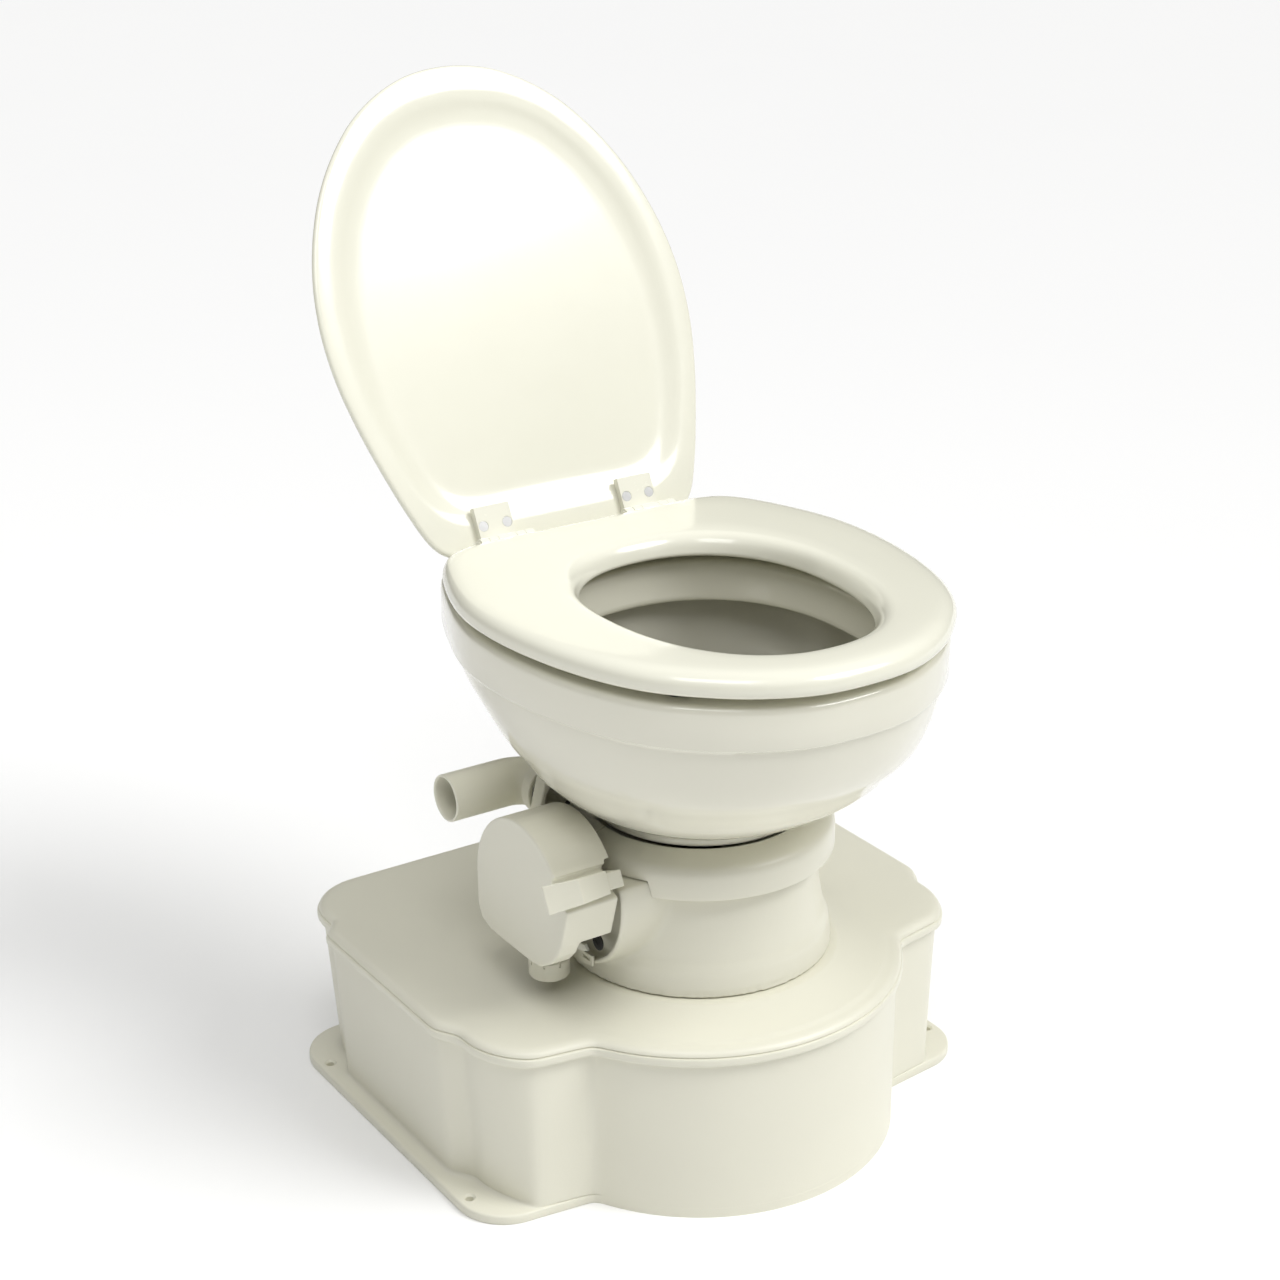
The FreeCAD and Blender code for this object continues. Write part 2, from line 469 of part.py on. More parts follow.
# ---------------------------------------------------------------- lid and its hinge leaves, made lying closed and then stood open
under_z = g("hinge_z") + 16.8
stand = FreeCAD.Placement(V(0, 0, 0), FreeCAD.Rotation(X, -(90 + D["lid_lean"])), V(0, g("hinge_y"), g("hinge_z")))
half = [(-12, 0), (-12, 60), (-11.3, 98), (-8.5, 113), (-3, 122.5), (6, 129), (16, 133.5), (30, 139.2), (45, 145), (61, 150.3), (82, 157), (103, 163), (124, 168), (144, 172), (165, 174.3), (185, 175.2), (204, 174.4),
        (224, 172), (243, 168), (263, 162.2), (282, 155), (301, 146.3), (321, 134.2), (340, 119.8), (357.7, 103.8), (373, 84.5), (385, 64), (394, 42), (398.3, 20), (399.5, 0)]


def lid_outline(d, z):
    pts = []
    for s_, w_ in half:
        k = 1 - d / 175.0
        pts.append((193.0 + (s_ - 193.0) * (1 - d / 204.0), w_ * k))
    full = [(w_, g("hinge_y") - 4.9 - s_) for s_, w_ in pts] + [(-w_, g("hinge_y") - 4.9 - s_) for s_, w_ in reversed(pts[1:-1])]
    q = even(full, 72)
    return Part.makePolygon([V(x, y, z) for x, y in q + q[:1]])


lt = g("lid_thick")
lid_block = loft([lid_outline(1.5, under_z), lid_outline(0, under_z + 1.5), lid_outline(1, under_z + 4.5), lid_outline(4.5, under_z + 8.5), lid_outline(9, under_z + 11.3), lid_outline(15, under_z + lt)], "lid_block", True)
panel_pts = [(22, 0), (22, 70), (24, 92), (32, 108), (50, 122), (80, 134), (120, 145), (160, 150), (200, 150), (240, 144), (280, 130), (315, 108), (345, 78), (362, 44), (368, 0)]
panel = [(w_, g("hinge_y") - 4.9 - s_) for s_, w_ in panel_pts] + [(-w_, g("hinge_y") - 4.9 - s_) for s_, w_ in reversed(panel_pts[1:-1])]
panel = even(panel, 48)
panel = Part.makePolygon([V(x, y, under_z - 1) for x, y in panel + panel[:1]])
lid_hollow = feature(Part.Face(panel).extrude(V(0, 0, 6.5)), "lid_recess")
keep(cut(lid_block, lid_hollow), "lid", stand)
hy, hz, kr = g("hinge_y"), g("hinge_z"), g("knuckle_rad")
for side, sx in (("left", -1), ("right", 1)):
    hx = sx * D["hinge_x"]
    pinhole = lambda: cyl("pin_rad + pin_play", 60, (hx - 30, "hinge_y", "hinge_z"), (1, 0, 0))
    # lid leaf: a short arm from the centre knuckle to a plate on the lid's underside
    arm = plate("lid_arm_" + side, "YZ", [[(hy - 5.6, hz + 1), (hy - 5.4, under_z - 6.2), (hy - 14, under_z - 6.2), (hy - 14, under_z - 0.2), (hy - 1, under_z - 0.2), (hy + 6.0, hz + 1)]], 16.7, at=hx - 8.35)
    pl = box((hx - 16.5, hy - 33, under_z - 6.2), (hx + 16.5, hy - 6.0, under_z - 0.1))
    holes = [cyl(2.3, 12, (hx + d, hy - 4.9 - 11.8, under_z - 8)) for d in (-11.2, 11.2)] + [cone(4.7, 2.3, 2.6, (hx + d, hy - 4.9 - 11.8, under_z - 6.25)) for d in (-11.2, 11.2)]
    keep(cut(fuse(arm, pl, cyl("knuckle_rad", 16.7, (hx - 8.35, hy, hz), (1, 0, 0))), pinhole(), *holes), "lid_leaf_" + side, stand)
    # seat leaf: a plate under the seat with a knuckle each side of the centre one
    sk = [cyl("knuckle_rad", 8.2, (hx + o, hy, hz), (1, 0, 0)) for o in (-16.85, 8.65)]
    web = [box((hx + o, hy - 9, zl - 3.4), (hx + o + 8.2, hy, hz - 2)) for o in (-16.85, 8.65)]
    base = box((hx - 16.85, hy - 46, zl - 2.9), (hx + 16.85, hy - 5.2, zl - 0.2))
    webk = [common(w_, feature(Part.makeBox(60, 20, 30, V(hx - 30, hy - 6.1, hz - 15)), "web_limit")) for w_ in web]
    keep(cut(fuse(base, *sk, *webk), pinhole()), "seat_leaf_" + side)
    # post: base plate on the bowl's deck and the two outer knuckles
    pk = [cyl("knuckle_rad", 7.85, (hx + o, hy, hz), (1, 0, 0)) for o in (-25.0, 17.15)]
    pw = [box((hx + o, hy - 5, g("bowl_top") + 0.05), (hx + o + 7.85, hy + 5.5, hz)) for o in (-25.0, 17.15)]
    pb = box((hx - 25.0, hy - 8, g("bowl_top") + 0.05), (hx + 25.0, hy + 10, g("bowl_top") + 3.6))
    bh = cyl(3.5, 10, (hx, 172.5, g("bowl_top") - 3))
    keep(cut(fuse(pb, *pk, *pw), pinhole(), bh), "hinge_post_" + side)
keep(group(*[fuse(cyl("pin_rad", 50.6, (s * D["hinge_x"] - 25.3, "hinge_y", "hinge_z"), (1, 0, 0)), cyl(4.3, 1.0, (s * D["hinge_x"] - 26.05, "hinge_y", "hinge_z"), (1, 0, 0)),
                  cyl(4.3, 1.0, (s * D["hinge_x"] + 25.05, "hinge_y", "hinge_z"), (1, 0, 0))) for s in (-1, 1)]), "hinge_pins")
keep(group(*[cone(4.4, 2.2, 2.4, (s * D["hinge_x"] + d, hy - 16.7, under_z - 6.05)) for s in (-1, 1) for d in (-11.2, 11.2)]), "lid_leaf_screws", stand)
keep(group(*[fuse(cyl(3.4, 36, (s * D["hinge_x"], 172.5, g("bowl_top") - 32)), cyl(6.2, 0.9, (s * D["hinge_x"], 172.5, g("bowl_top") + 3.65))) for s in (-1, 1)]), "hinge_bolts")
keep(group(*[cut(fuse(cyl(9, 6, (s * D["hinge_x"], 172.5, g("bowl_top") - 19.2)), box((s * D["hinge_x"] - 15, 171, g("bowl_top") - 25), (s * D["hinge_x"] + 15, 174, g("bowl_top") - 14))),
                 cyl(3.45, 20, (s * D["hinge_x"], 172.5, g("bowl_top") - 30))) for s in (-1, 1)]), "hinge_nuts")

# ---------------------------------------------------------------- side cover, flush pedal and spring cartridge on the -X side
sz = D["shaft_z"]
cr = D["cover_rad"]


def cover_pts(d):
    r = cr - d
    up = [(r * math.cos(math.radians(a)), sz + r * math.sin(math.radians(a))) for a in range(0, 141, 7)]
    return up + [(-52.6 + d * 0.8, 283.0), (-47 + d, 277.5), (-60 + d, 266.0), (-70.4 + d, 261.2 - d * 0.3), (-68.6 + d, 254), (-60.6 + d, 227), (-55 + d, 216 + d * 0.3), (-46 + d * 0.8, 206.4 + d * 0.6), (-30 + d * 0.5, 196.8 + d), (-16, 194.6 + d),
                 (46, 195.6 + d), (59 - d * 0.6, 200.5 + d * 0.7), (65 - d, 211 + d * 0.3)]


cx0 = -D["cover_face"]
cov = feature(Part.Face(Part.makePolygon([V(0, y, z) for y, z in cover_pts(0)] + [V(0, *cover_pts(0)[0])])).extrude(V(46.4, 0, 0)), "cover_outer")
cov.Placement.Base = V(cx0, 0, 0)
cin = feature(Part.Face(Part.makePolygon([V(0, y, z) for y, z in cover_pts(D["cover_wall"])] + [V(0, *cover_pts(D["cover_wall"])[0])])).extrude(V(60, 0, 0)), "cover_inner")
cin.Placement.Base = V(cx0 + D["cover_wall"], 0, 0)
top_lip = feature(Part.Face(Part.makePolygon([V(0, y, z) for y, z in cover_pts(0)[:21]] + [V(0, 0, sz), V(0, *cover_pts(0)[0])])).extrude(V(5.2, 0, 0)), "cover_edge")
top_lip.Placement.Base = V(-121.65, 0, 0)
notch = box((-150, -90, 190), (-100, -16, 226.5))
below = box((-156, -24, 190), (-100, 40, 199))
open_edge = box((-121.6, -80, 190), (-110, -2, 284.5))
rear_post = box((-121.65, 40, 196.0), (-116.45, 70, 243))
cover = cut(fuse(cov, top_lip, rear_post), *screw_holes(), cin, notch, below, open_edge)
keep(cover, "side_cover")
keep(group(*[cyl(2.6, 9, (-121, y, z), (1, 0, 0)) for y, z in screw_at]), "cover_screws")

# drum of the return spring, fixed to the boss by three legs
drum = cut(cyl("drum_rad", 30, (-160, 0, "shaft_z"), (1, 0, 0)), cyl("drum_rad - 3", 27, (-161, 0, "shaft_z"), (1, 0, 0)), cyl("shaft_rad + 0.05", 60, (-165, 0, "shaft_z"), (1, 0, 0)))
legs = [box((-134, y - 4, z - 4), (-116.3, y + 4, z + 4)) for y, z in ((45, sz - 18), (45, sz + 18), (8, sz + 49))]
arms2 = [box((-134, 30, sz - 22), (-130, 49, sz + 22)), box((-134, 4, sz + 30), (-130, 12, sz + 53))]
keep(cut(fuse(drum, *legs, *arms2), cyl("drum_rad - 3", 26, (-159, 0, "shaft_z"), (1, 0, 0))), "spring_drum")
keep(fuse(cyl("drum_rad", 2.2, (-162.4, 0, "shaft_z"), (1, 0, 0)), cyl("drum_rad - 3.1", 3, (-160.2, 0, "shaft_z"), (1, 0, 0))), "drum_cap")
helix = Part.makeHelix(4.0, 16.0, 18.0)
wire_ = Part.Wire(helix.Edges)
prof = Part.Wire([Part.makeCircle(1.5, V(18, 0, 0), V(0, 1, 0))])
coil = wire_.makePipeShell([prof], True, True)
spring = feature(coil, "spring_coil")
keep(spring, "torsion_spring", FreeCAD.Placement(V(-154, 0, sz), FreeCAD.Rotation(Z, X)))

# pedal: hub on the shaft, a flat arm in the gap beside the boss, and a bent pad outside the cover
ph = math.radians(26.6)
rad = lambda r, t: (-r * math.cos(ph + t), sz + r * math.sin(ph + t))
tl = lambda r, k: (-r * math.cos(ph) + k * math.sin(ph), sz + r * math.sin(ph) + k * math.cos(ph))
armp = plate("pedal_arm", "YZ", [[tl(8, 9), tl(72, 6.5), tl(78.2, 6.5), tl(78.2, -6.5), tl(72, -6.5), tl(8, -9)]], 3.2, at=-121.0)
web_ = feature(Part.Face(Part.makePolygon([V(-136.5, *tl(r, k)) for r, k in ((75.2, 6.5), (78.2, 6.5), (78.2, -6.5), (75.2, -6.5), (75.2, 6.5))])).extrude(V(17, 0, 0)), "pedal_web")


def pad_section(x, r, h, t):
    q = [tl(r, h), tl(r + t, h), tl(r + t, -h), tl(r, -h)]
    return Part.makePolygon([V(x, y, z) for y, z in q + q[:1]])


ht = D["pedal_thick"]
pads = [Part.makeLoft([pad_section(-187.4, 77.4, 11.0, ht), pad_section(-161.6, 86.6, 9.8, ht)], True, True), Part.makeLoft([pad_section(-161.6, 86.6, 9.8, ht), pad_section(-132.0, 77.4, 9.0, ht)], True, True)]
pad = feature(pads[0].fuse(pads[1]).removeSplitter(), "pedal_pad")
keep(cut(fuse(armp, pad, web_, cyl(15, 3.2, ("0 - 121.0", 0, "shaft_z"), (1, 0, 0)), cyl(12.5, 3.4, ("0 - 124.4", 0, "shaft_z"), (1, 0, 0))), cyl("shaft_rad", 20, (-128, 0, "shaft_z"), (1, 0, 0))), "flush_pedal")

# ---------------------------------------------------------------- water valve under the drum
vx, vy = -138.5, 5.0
keep(fuse(cyl(12, 19.5, (vx, vy, 181.2)), box((vx - 6, vy - 11, 196), (vx + 14, vy + 11, 204.5)), box((vx + 10, vy - 5, 190.2), (-116.2, vy + 5, 200))), "water_valve")
nut = turned("inlet_nut_turned", [(12.35, 168), ("nut_rad - 1", 166.5), ("nut_rad", 168), ("nut_rad", 181.5), ("nut_rad - 0.8", 182.6), (12.35, 182.6)], (vx, vy, 0))
ticks = [box((vx - 0.8, vy + 14, 178.6), (vx + 0.8, vy + 20, 184)) for _ in range(1)]
tick = doc.addObject("Part::Compound", "ticks")
tl_ = []
for i in range(8):
    t_ = box((-0.7, 15.2, 178.4), (0.7, 20, 184))
    t_.Placement = FreeCAD.Placement(V(vx, vy, 0), FreeCAD.Rotation(Z, 45 * i)).multiply(t_.Placement)
    tl_.append(t_)
tick.Links = tl_
keep(cut(nut, tick), "inlet_nut")
keep(fuse(cut(cyl(12.0, 10, (vx, vy, 170.9)), cyl(6.5, 20, (vx, vy, 165)))), "inlet_tail")
lev = plate("lever_plate", "YZ", [[(-10, 199.5), (-20, 203.5), (-34, 206.5), (-38, 203), (-33, 200.5), (-22, 198), (-14, 194)]], 2.4, at=-130.0)
keep(cut(fuse(lev, cyl(4.2, 6, (-132, -12, 198), (1, 0, 0))), cyl(2.05, 20, (-140, -12, 198), (1, 0, 0))), "valve_lever")
keep(cyl(2.0, 17, (-133.3, -12, 198), (1, 0, 0)), "lever_pin")
keep(cut(cyl(7.2, 1.2, (-117.4, -33, 205), (1, 0, 0)), cyl(2.6, 0.7, (-117.6, -33, 205), (1, 0, 0))), "wall_grommet")
brk = plate("bracket_plate", "YZ", [[(8, 178.5), (-4, 175.5), (-27, 180.5), (-27, 189.5), (-4, 187.5), (8, 186)]], 2.0, at=-118.6)
keep(cut(brk, box((-120, -23, 183.2), (-115, -13, 185.4))), "valve_bracket")

# ---------------------------------------------------------------- outlet elbow, its collar and the rear port housing
pr, pw_, py, pz, px, br = D["pipe_rad"], D["pipe_wall"], D["pipe_y"], D["pipe_z"], D["pipe_end"], D["bend_rad"]
bend_x = -95.0 - br
path = Part.Wire([Part.makeLine(V(-px, py, pz), V(bend_x, py, pz)), Part.Arc(V(bend_x, py, pz), V(bend_x + br * math.sin(math.pi / 4), py - br * (1 - math.cos(math.pi / 4)), pz), V(bend_x + br, py - br, pz)).toShape(),
                  Part.makeLine(V(bend_x + br, py - br, pz), V(bend_x + br, 66.0, pz))])
tube_o = path.makePipeShell([Part.Wire([Part.makeCircle(pr, V(-px, py, pz), X)])], True, True)
tube_i = Part.Wire([Part.makeLine(V(-px - 1, py, pz), V(bend_x, py, pz)), Part.Arc(V(bend_x, py, pz), V(bend_x + br * math.sin(math.pi / 4), py - br * (1 - math.cos(math.pi / 4)), pz), V(bend_x + br, py - br, pz)).toShape(),
                    Part.makeLine(V(bend_x + br, py - br, pz), V(bend_x + br, 65.0, pz))]).makePipeShell([Part.Wire([Part.makeCircle(pr - pw_, V(-px - 1, py, pz), X)])], True, True)
keep(cut(feature(tube_o, "elbow_outer"), feature(tube_i, "elbow_bore")), "outlet_elbow")
keep(turned("elbow_nut_turned", [(g("pipe_rad") + 0.35, 0), ("collar_rad - 0.6", 0), ("collar_rad", 1.5), ("collar_rad", 10), ("collar_rad - 1", 11.4), (g("pipe_rad") + 1.7, 11.4), (g("pipe_rad") + 0.35, 5.0)], (bend_x + br, 66.8, pz), (0, 1, 0)), "elbow_nut")
keep(turned("elbow_gasket", [(g("pipe_rad - pipe_wall"), 0), (g("pipe_rad") + 0.6, 0), (g("pipe_rad") + 0.6, 2.0), (g("pipe_rad - pipe_wall"), 2.0)], (bend_x + br, 63.7, pz), (0, 1, 0)), "elbow_gasket")

# rear port: a ported housing standing on the pedestal's clamp band behind the bowl's foot
port = plate("rear_port_plate", "XZ", [[(-124, 262), (-66, 262), (-66, 284), (-70, 312), (-112, 312)]], 14.0, at=-63.4, back=False)
bore_p = cyl("pipe_rad - pipe_wall", 30, (bend_x + br, 40, pz), (0, 1, 0))
keep(cut(port, bore_p, cyl("band_rad + 0.4", "band_top + 7 - 240", (0, 0, 240)), *bowl_room, cyl("cover_rad + 0.4", 60, (-175, 0, "shaft_z"), (1, 0, 0)), *screw_holes()), "rear_port")
doc.recompute()
bad = [(o.Name, o.Label, o.State) for o in doc.Objects if "Invalid" in o.State or "Error" in o.State]
for o in kept:
    if o.Shape.isNull() or not o.Shape.isValid() or o.Shape.Volume <= 0:
        bad.append((o.Label, "bad shape"))
assert not bad, bad
for o in kept:
    o.Shape.exportStep("parts/%s.step" % o.Label)
    bb = o.Shape.BoundBox
    print("%-22s solids %d vol %.1f cm3 box %.1f..%.1f %.1f..%.1f %.1f..%.1f" % (o.Label, len(o.Shape.Solids), o.Shape.Volume / 1000, bb.XMin, bb.XMax, bb.YMin, bb.YMax, bb.ZMin, bb.ZMax))
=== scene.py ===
import bpy, bmesh, math, json
import numpy as np
from mathutils import Vector, Matrix


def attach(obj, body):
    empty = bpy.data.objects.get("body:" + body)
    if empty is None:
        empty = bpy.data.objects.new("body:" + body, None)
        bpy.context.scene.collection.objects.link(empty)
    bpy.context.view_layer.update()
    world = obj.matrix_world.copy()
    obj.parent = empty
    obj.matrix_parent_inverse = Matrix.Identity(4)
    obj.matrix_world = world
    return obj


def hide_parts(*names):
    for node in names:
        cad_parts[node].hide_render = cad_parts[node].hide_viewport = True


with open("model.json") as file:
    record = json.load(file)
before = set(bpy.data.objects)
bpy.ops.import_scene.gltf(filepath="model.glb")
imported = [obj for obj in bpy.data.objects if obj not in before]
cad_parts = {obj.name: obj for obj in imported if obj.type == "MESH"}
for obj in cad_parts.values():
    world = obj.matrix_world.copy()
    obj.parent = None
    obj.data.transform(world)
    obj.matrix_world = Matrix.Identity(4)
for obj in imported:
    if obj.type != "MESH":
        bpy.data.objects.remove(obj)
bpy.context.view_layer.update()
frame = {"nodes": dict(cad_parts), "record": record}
nodes = frame["nodes"]
rec = frame["record"]
body_of = {n: b for b, ns in rec["behaviour"]["bodies"].items() for n in ns}
slot_of = {s["node"]: s["material_slot"] for s in rec["subparts"]}
MM = 0.001

# ---------------------------------------------------------------- camera
scene = bpy.context.scene
cam = bpy.data.objects.new("camera", bpy.data.cameras.new("camera"))
scene.collection.objects.link(cam)
scene.camera = cam
a_, e_ = math.radians(-33.7), math.radians(21.8)
back = Vector((math.sin(a_) * math.cos(e_), -math.cos(a_) * math.cos(e_), math.sin(e_)))
cam.location = (-1.0246, -1.4602, 1.1342)
cam.rotation_mode = "QUATERNION"
cam.rotation_quaternion = (-back).to_track_quat("-Z", "Y")
cam.data.sensor_width = 36.0
cam.data.lens = 69.18
cam.data.shift_x = -0.004
cam.data.clip_start, cam.data.clip_end = 0.02, 60.0
scene.view_settings.view_transform = "Standard"


# ---------------------------------------------------------------- materials
def material(name, base, rough, vary=0.02, bump=0.03, grain=700.0, metal=0.0, coat=0.0, spec=0.5, cloud=9.0, dirt=0.0, shades=None):
    """a moulded or glazed surface: soft colour clouds, grain in the roughness and a fine bump, all in object space"""
    m = bpy.data.materials.new(name)
    m.use_nodes = True
    nt = m.node_tree
    p = nt.nodes["Principled BSDF"]
    p.inputs["Metallic"].default_value = metal
    p.inputs["Specular IOR Level"].default_value = spec
    p.inputs["Coat Weight"].default_value = coat
    p.inputs["Coat Roughness"].default_value = 0.06
    tc = nt.nodes.new("ShaderNodeTexCoord")
    n1 = nt.nodes.new("ShaderNodeTexNoise")
    n1.inputs["Scale"].default_value = cloud
    n1.inputs["Detail"].default_value = 3.0
    nt.links.new(tc.outputs["Object"], n1.inputs["Vector"])
    ramp = nt.nodes.new("ShaderNodeValToRGB")
    lo, hi = shades or ([c * (1 - vary) for c in base], [min(c * (1 + vary), 1.0) for c in base])
    ramp.color_ramp.elements[0].position, ramp.color_ramp.elements[1].position = 0.3, 0.7
    ramp.color_ramp.elements[0].color = (*lo, 1)
    ramp.color_ramp.elements[1].color = (*hi, 1)
    nt.links.new(n1.outputs["Fac"], ramp.inputs["Fac"])
    nt.links.new(ramp.outputs["Color"], p.inputs["Base Color"])
    n2 = nt.nodes.new("ShaderNodeTexNoise")
    n2.inputs["Scale"].default_value = cloud * 6
    n2.inputs["Detail"].default_value = 4.0
    nt.links.new(tc.outputs["Object"], n2.inputs["Vector"])
    mr = nt.nodes.new("ShaderNodeMapRange")
    mr.inputs["To Min"].default_value = max(rough - 0.04, 0.02)
    mr.inputs["To Max"].default_value = rough + 0.04
    nt.links.new(n2.outputs["Fac"], mr.inputs["Value"])
    nt.links.new(mr.outputs["Result"], p.inputs["Roughness"])
    if bump:
        n3 = nt.nodes.new("ShaderNodeTexNoise")
        n3.inputs["Scale"].default_value = grain
        n3.inputs["Detail"].default_value = 2.0
        nt.links.new(tc.outputs["Object"], n3.inputs["Vector"])
        b = nt.nodes.new("ShaderNodeBump")
        b.inputs["Strength"].default_value = bump
        b.inputs["Distance"].default_value = 0.0004
        nt.links.new(n3.outputs["Fac"], b.inputs["Height"])
        nt.links.new(b.outputs["Normal"], p.inputs["Normal"])
    return m


CREAM = (0.80, 0.785, 0.665)
M = {
    "tank": material("tank_moulded", CREAM, 0.36, 0.012, 0.10, 520.0),
    "moulding": material("moulded_satin", CREAM, 0.30, 0.012, 0.06, 900.0),
    "china": material("glazed_china", (0.80, 0.785, 0.67), 0.09, 0.010, 0.02, 160.0, coat=0.5),
    "seat": material("seat_gloss", (0.83, 0.82, 0.70), 0.16, 0.010, 0.025, 260.0, coat=0.25),
    "hinge": material("hinge_moulded", (0.83, 0.82, 0.71), 0.26, 0.012, 0.05, 1400.0),
    "rubber": material("black_rubber", (0.014, 0.014, 0.014), 0.62, 0.15, 0.25, 1800.0),
    "seal": material("seal_rubber", (0.035, 0.035, 0.034), 0.66, 0.12, 0.25, 1800.0),
    "steel": material("stainless", (0.55, 0.55, 0.54), 0.30, 0.05, 0.08, 2600.0, metal=1.0),
    "white": material("white_acetal", (0.76, 0.755, 0.68), 0.34, 0.015, 0.05, 1200.0),
}
# the inside of the bowl gets the china colour darkened: painted shade for the shade that falls inside the bowl
M["bowl_inside"] = material("glaze_painted_shade", (0.50, 0.49, 0.42), 0.12, 0.02, 0.02, 160.0, coat=0.4)

for name, o in nodes.items():
    mat = M[slot_of[name]]
    if len(o.material_slots) == 0:
        o.data.materials.append(mat)
    for s in o.material_slots:
        s.material = mat


# ---------------------------------------------------------------- mesh helpers
def finish_piece(name, me, node, mat=None, sharp=38.0, keep_mats=False):
    ob = bpy.data.objects.new(name, me)
    scene.collection.objects.link(ob)
    if not keep_mats:
        me.materials.clear()
        me.materials.append(mat or M[slot_of[node]])
    me.shade_smooth()
    if sharp:
        me.set_sharp_from_angle(angle=math.radians(sharp))
    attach(ob, body_of[node])
    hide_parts(node)
    return ob


def from_arrays(name, verts, faces):
    me = bpy.data.meshes.new(name)
    me.from_pydata([tuple(float(c) * MM for c in v) for v in verts], [], [tuple(int(i) for i in f) for f in faces])
    bm = bmesh.new()
    bm.from_mesh(me)
    bmesh.ops.recalc_face_normals(bm, faces=bm.faces)
    bm.to_mesh(me)
    bm.free()
    me.update()
    return me


def chain(loops, first=None, last=None, ring=False, closed=True):
    """quads between equal loops; first and last are centre points that close the ends; ring joins the last loop to the first"""
    n = len(loops[0])
    verts = [p for lp in loops for p in lp]
    faces = []
    m = len(loops)
    for i in range(m if ring else m - 1):
        a, b = i * n, ((i + 1) % m) * n
        for j in range(n if closed else n - 1):
            k = (j + 1) % n
            faces.append((a + j, a + k, b + k, b + j))
    if first is not None:
        verts.append(first)
        c = len(verts) - 1
        faces += [(c, (j + 1) % n, j) for j in range(n)]
    if last is not None:
        verts.append(last)
        c = len(verts) - 1
        o = (m - 1) * n
        faces += [(c, o + j, o + (j + 1) % n) for j in range(n)]
    return verts, faces


def boolean(me, cutters, op="DIFFERENCE"):
    ob = bpy.data.objects.new("tmp_base", me)
    scene.collection.objects.link(ob)
    made = [ob]
    for c in cutters:
        co = bpy.data.objects.new("tmp_cut", c)
        scene.collection.objects.link(co)
        made.append(co)
        md = ob.modifiers.new("b", "BOOLEAN")
        md.operation, md.object, md.solver = op, co, "EXACT"
    bpy.context.view_layer.update()
    dg = bpy.context.evaluated_depsgraph_get()
    out = bpy.data.meshes.new_from_object(ob.evaluated_get(dg))
    for o in made:
        bpy.data.objects.remove(o)
    return out


def tube_mesh(name, p, axis, sections, n=40):
    """a closed turned cutter: (radius, distance along axis) from point p"""
    z = Vector(axis).normalized()
    x = z.orthogonal().normalized()
    y = z.cross(x)
    loops = []
    for r, d in sections:
        loops.append([Vector(p) + z * d + x * r * math.cos(2 * math.pi * i / n) + y * r * math.sin(2 * math.pi * i / n) for i in range(n)])
    c0, c1 = Vector(p) + z * sections[0][1], Vector(p) + z * sections[-1][1]
    return from_arrays(name, *chain(loops, c0, c1))


def box_mesh(name, lo, hi):
    v = [(x, y, z) for x in (lo[0], hi[0]) for y in (lo[1], hi[1]) for z in (lo[2], hi[2])]
    f = [(0, 1, 3, 2), (4, 6, 7, 5), (0, 4, 5, 1), (2, 3, 7, 6), (0, 2, 6, 4), (1, 5, 7, 3)]
    return from_arrays(name, v, f)


def welded(node):
    """the node's shape as a plain welded mesh"""
    src = nodes[node].data
    me = bpy.data.meshes.new(node + "_copy")
    me.from_pydata([tuple(v.co) for v in src.vertices], [], [tuple(p.vertices) for p in src.polygons])
    bm = bmesh.new()
    bm.from_mesh(me)
    bmesh.ops.remove_doubles(bm, verts=bm.verts, dist=2e-6)
    bmesh.ops.dissolve_degenerate(bm, edges=bm.edges, dist=2e-6)
    bmesh.ops.recalc_face_normals(bm, faces=bm.faces)
    bm.to_mesh(me)
    bm.free()
    return me


def soften(node, width=0.6, segs=3, limit=32.0, mat=None):
    """the node's own shape with its edges rounded as they come out of a mould"""
    me = welded(node)
    bm = bmesh.new()
    bm.from_mesh(me)
    bmesh.ops.dissolve_limit(bm, angle_limit=math.radians(0.6), verts=bm.verts, edges=bm.edges, delimit={"SHARP"})
    bm.to_mesh(me)
    bm.free()
    ob = finish_piece(node + "_finished", me, node, mat, sharp=None)
    b = ob.modifiers.new("edge", "BEVEL")
    b.width, b.segments, b.limit_method, b.angle_limit = width * MM, segs, "ANGLE", math.radians(limit)
    b.use_clamp_overlap = True
    b.miter_outer = "MITER_ARC"
    w = ob.modifiers.new("normals", "WEIGHTED_NORMAL")
    w.keep_sharp = False
    w.weight = 60
    return ob


def relax(me, weights, rounds):
    """smooths a mesh's points towards their neighbours by each point's weight"""
    n = len(me.vertices)
    co = np.zeros(n * 3)
    me.vertices.foreach_get("co", co)
    co = co.reshape(-1, 3)
    ed = np.zeros(len(me.edges) * 2, int)
    me.edges.foreach_get("vertices", ed)
    ed = ed.reshape(-1, 2)
    deg = np.bincount(ed.ravel(), minlength=n).reshape(-1, 1)
    wt = weights(co)[:, None] if callable(weights) else np.full((n, 1), weights)
    for _ in range(rounds):
        for s in (0.55, -0.50) if rounds > 200 else (0.5,):
            acc = np.zeros_like(co)
            np.add.at(acc, ed[:, 0], co[ed[:, 1]])
            np.add.at(acc, ed[:, 1], co[ed[:, 0]])
            co = co + (acc / deg - co) * wt * s
    me.vertices.foreach_set("co", co.ravel())
    me.update()


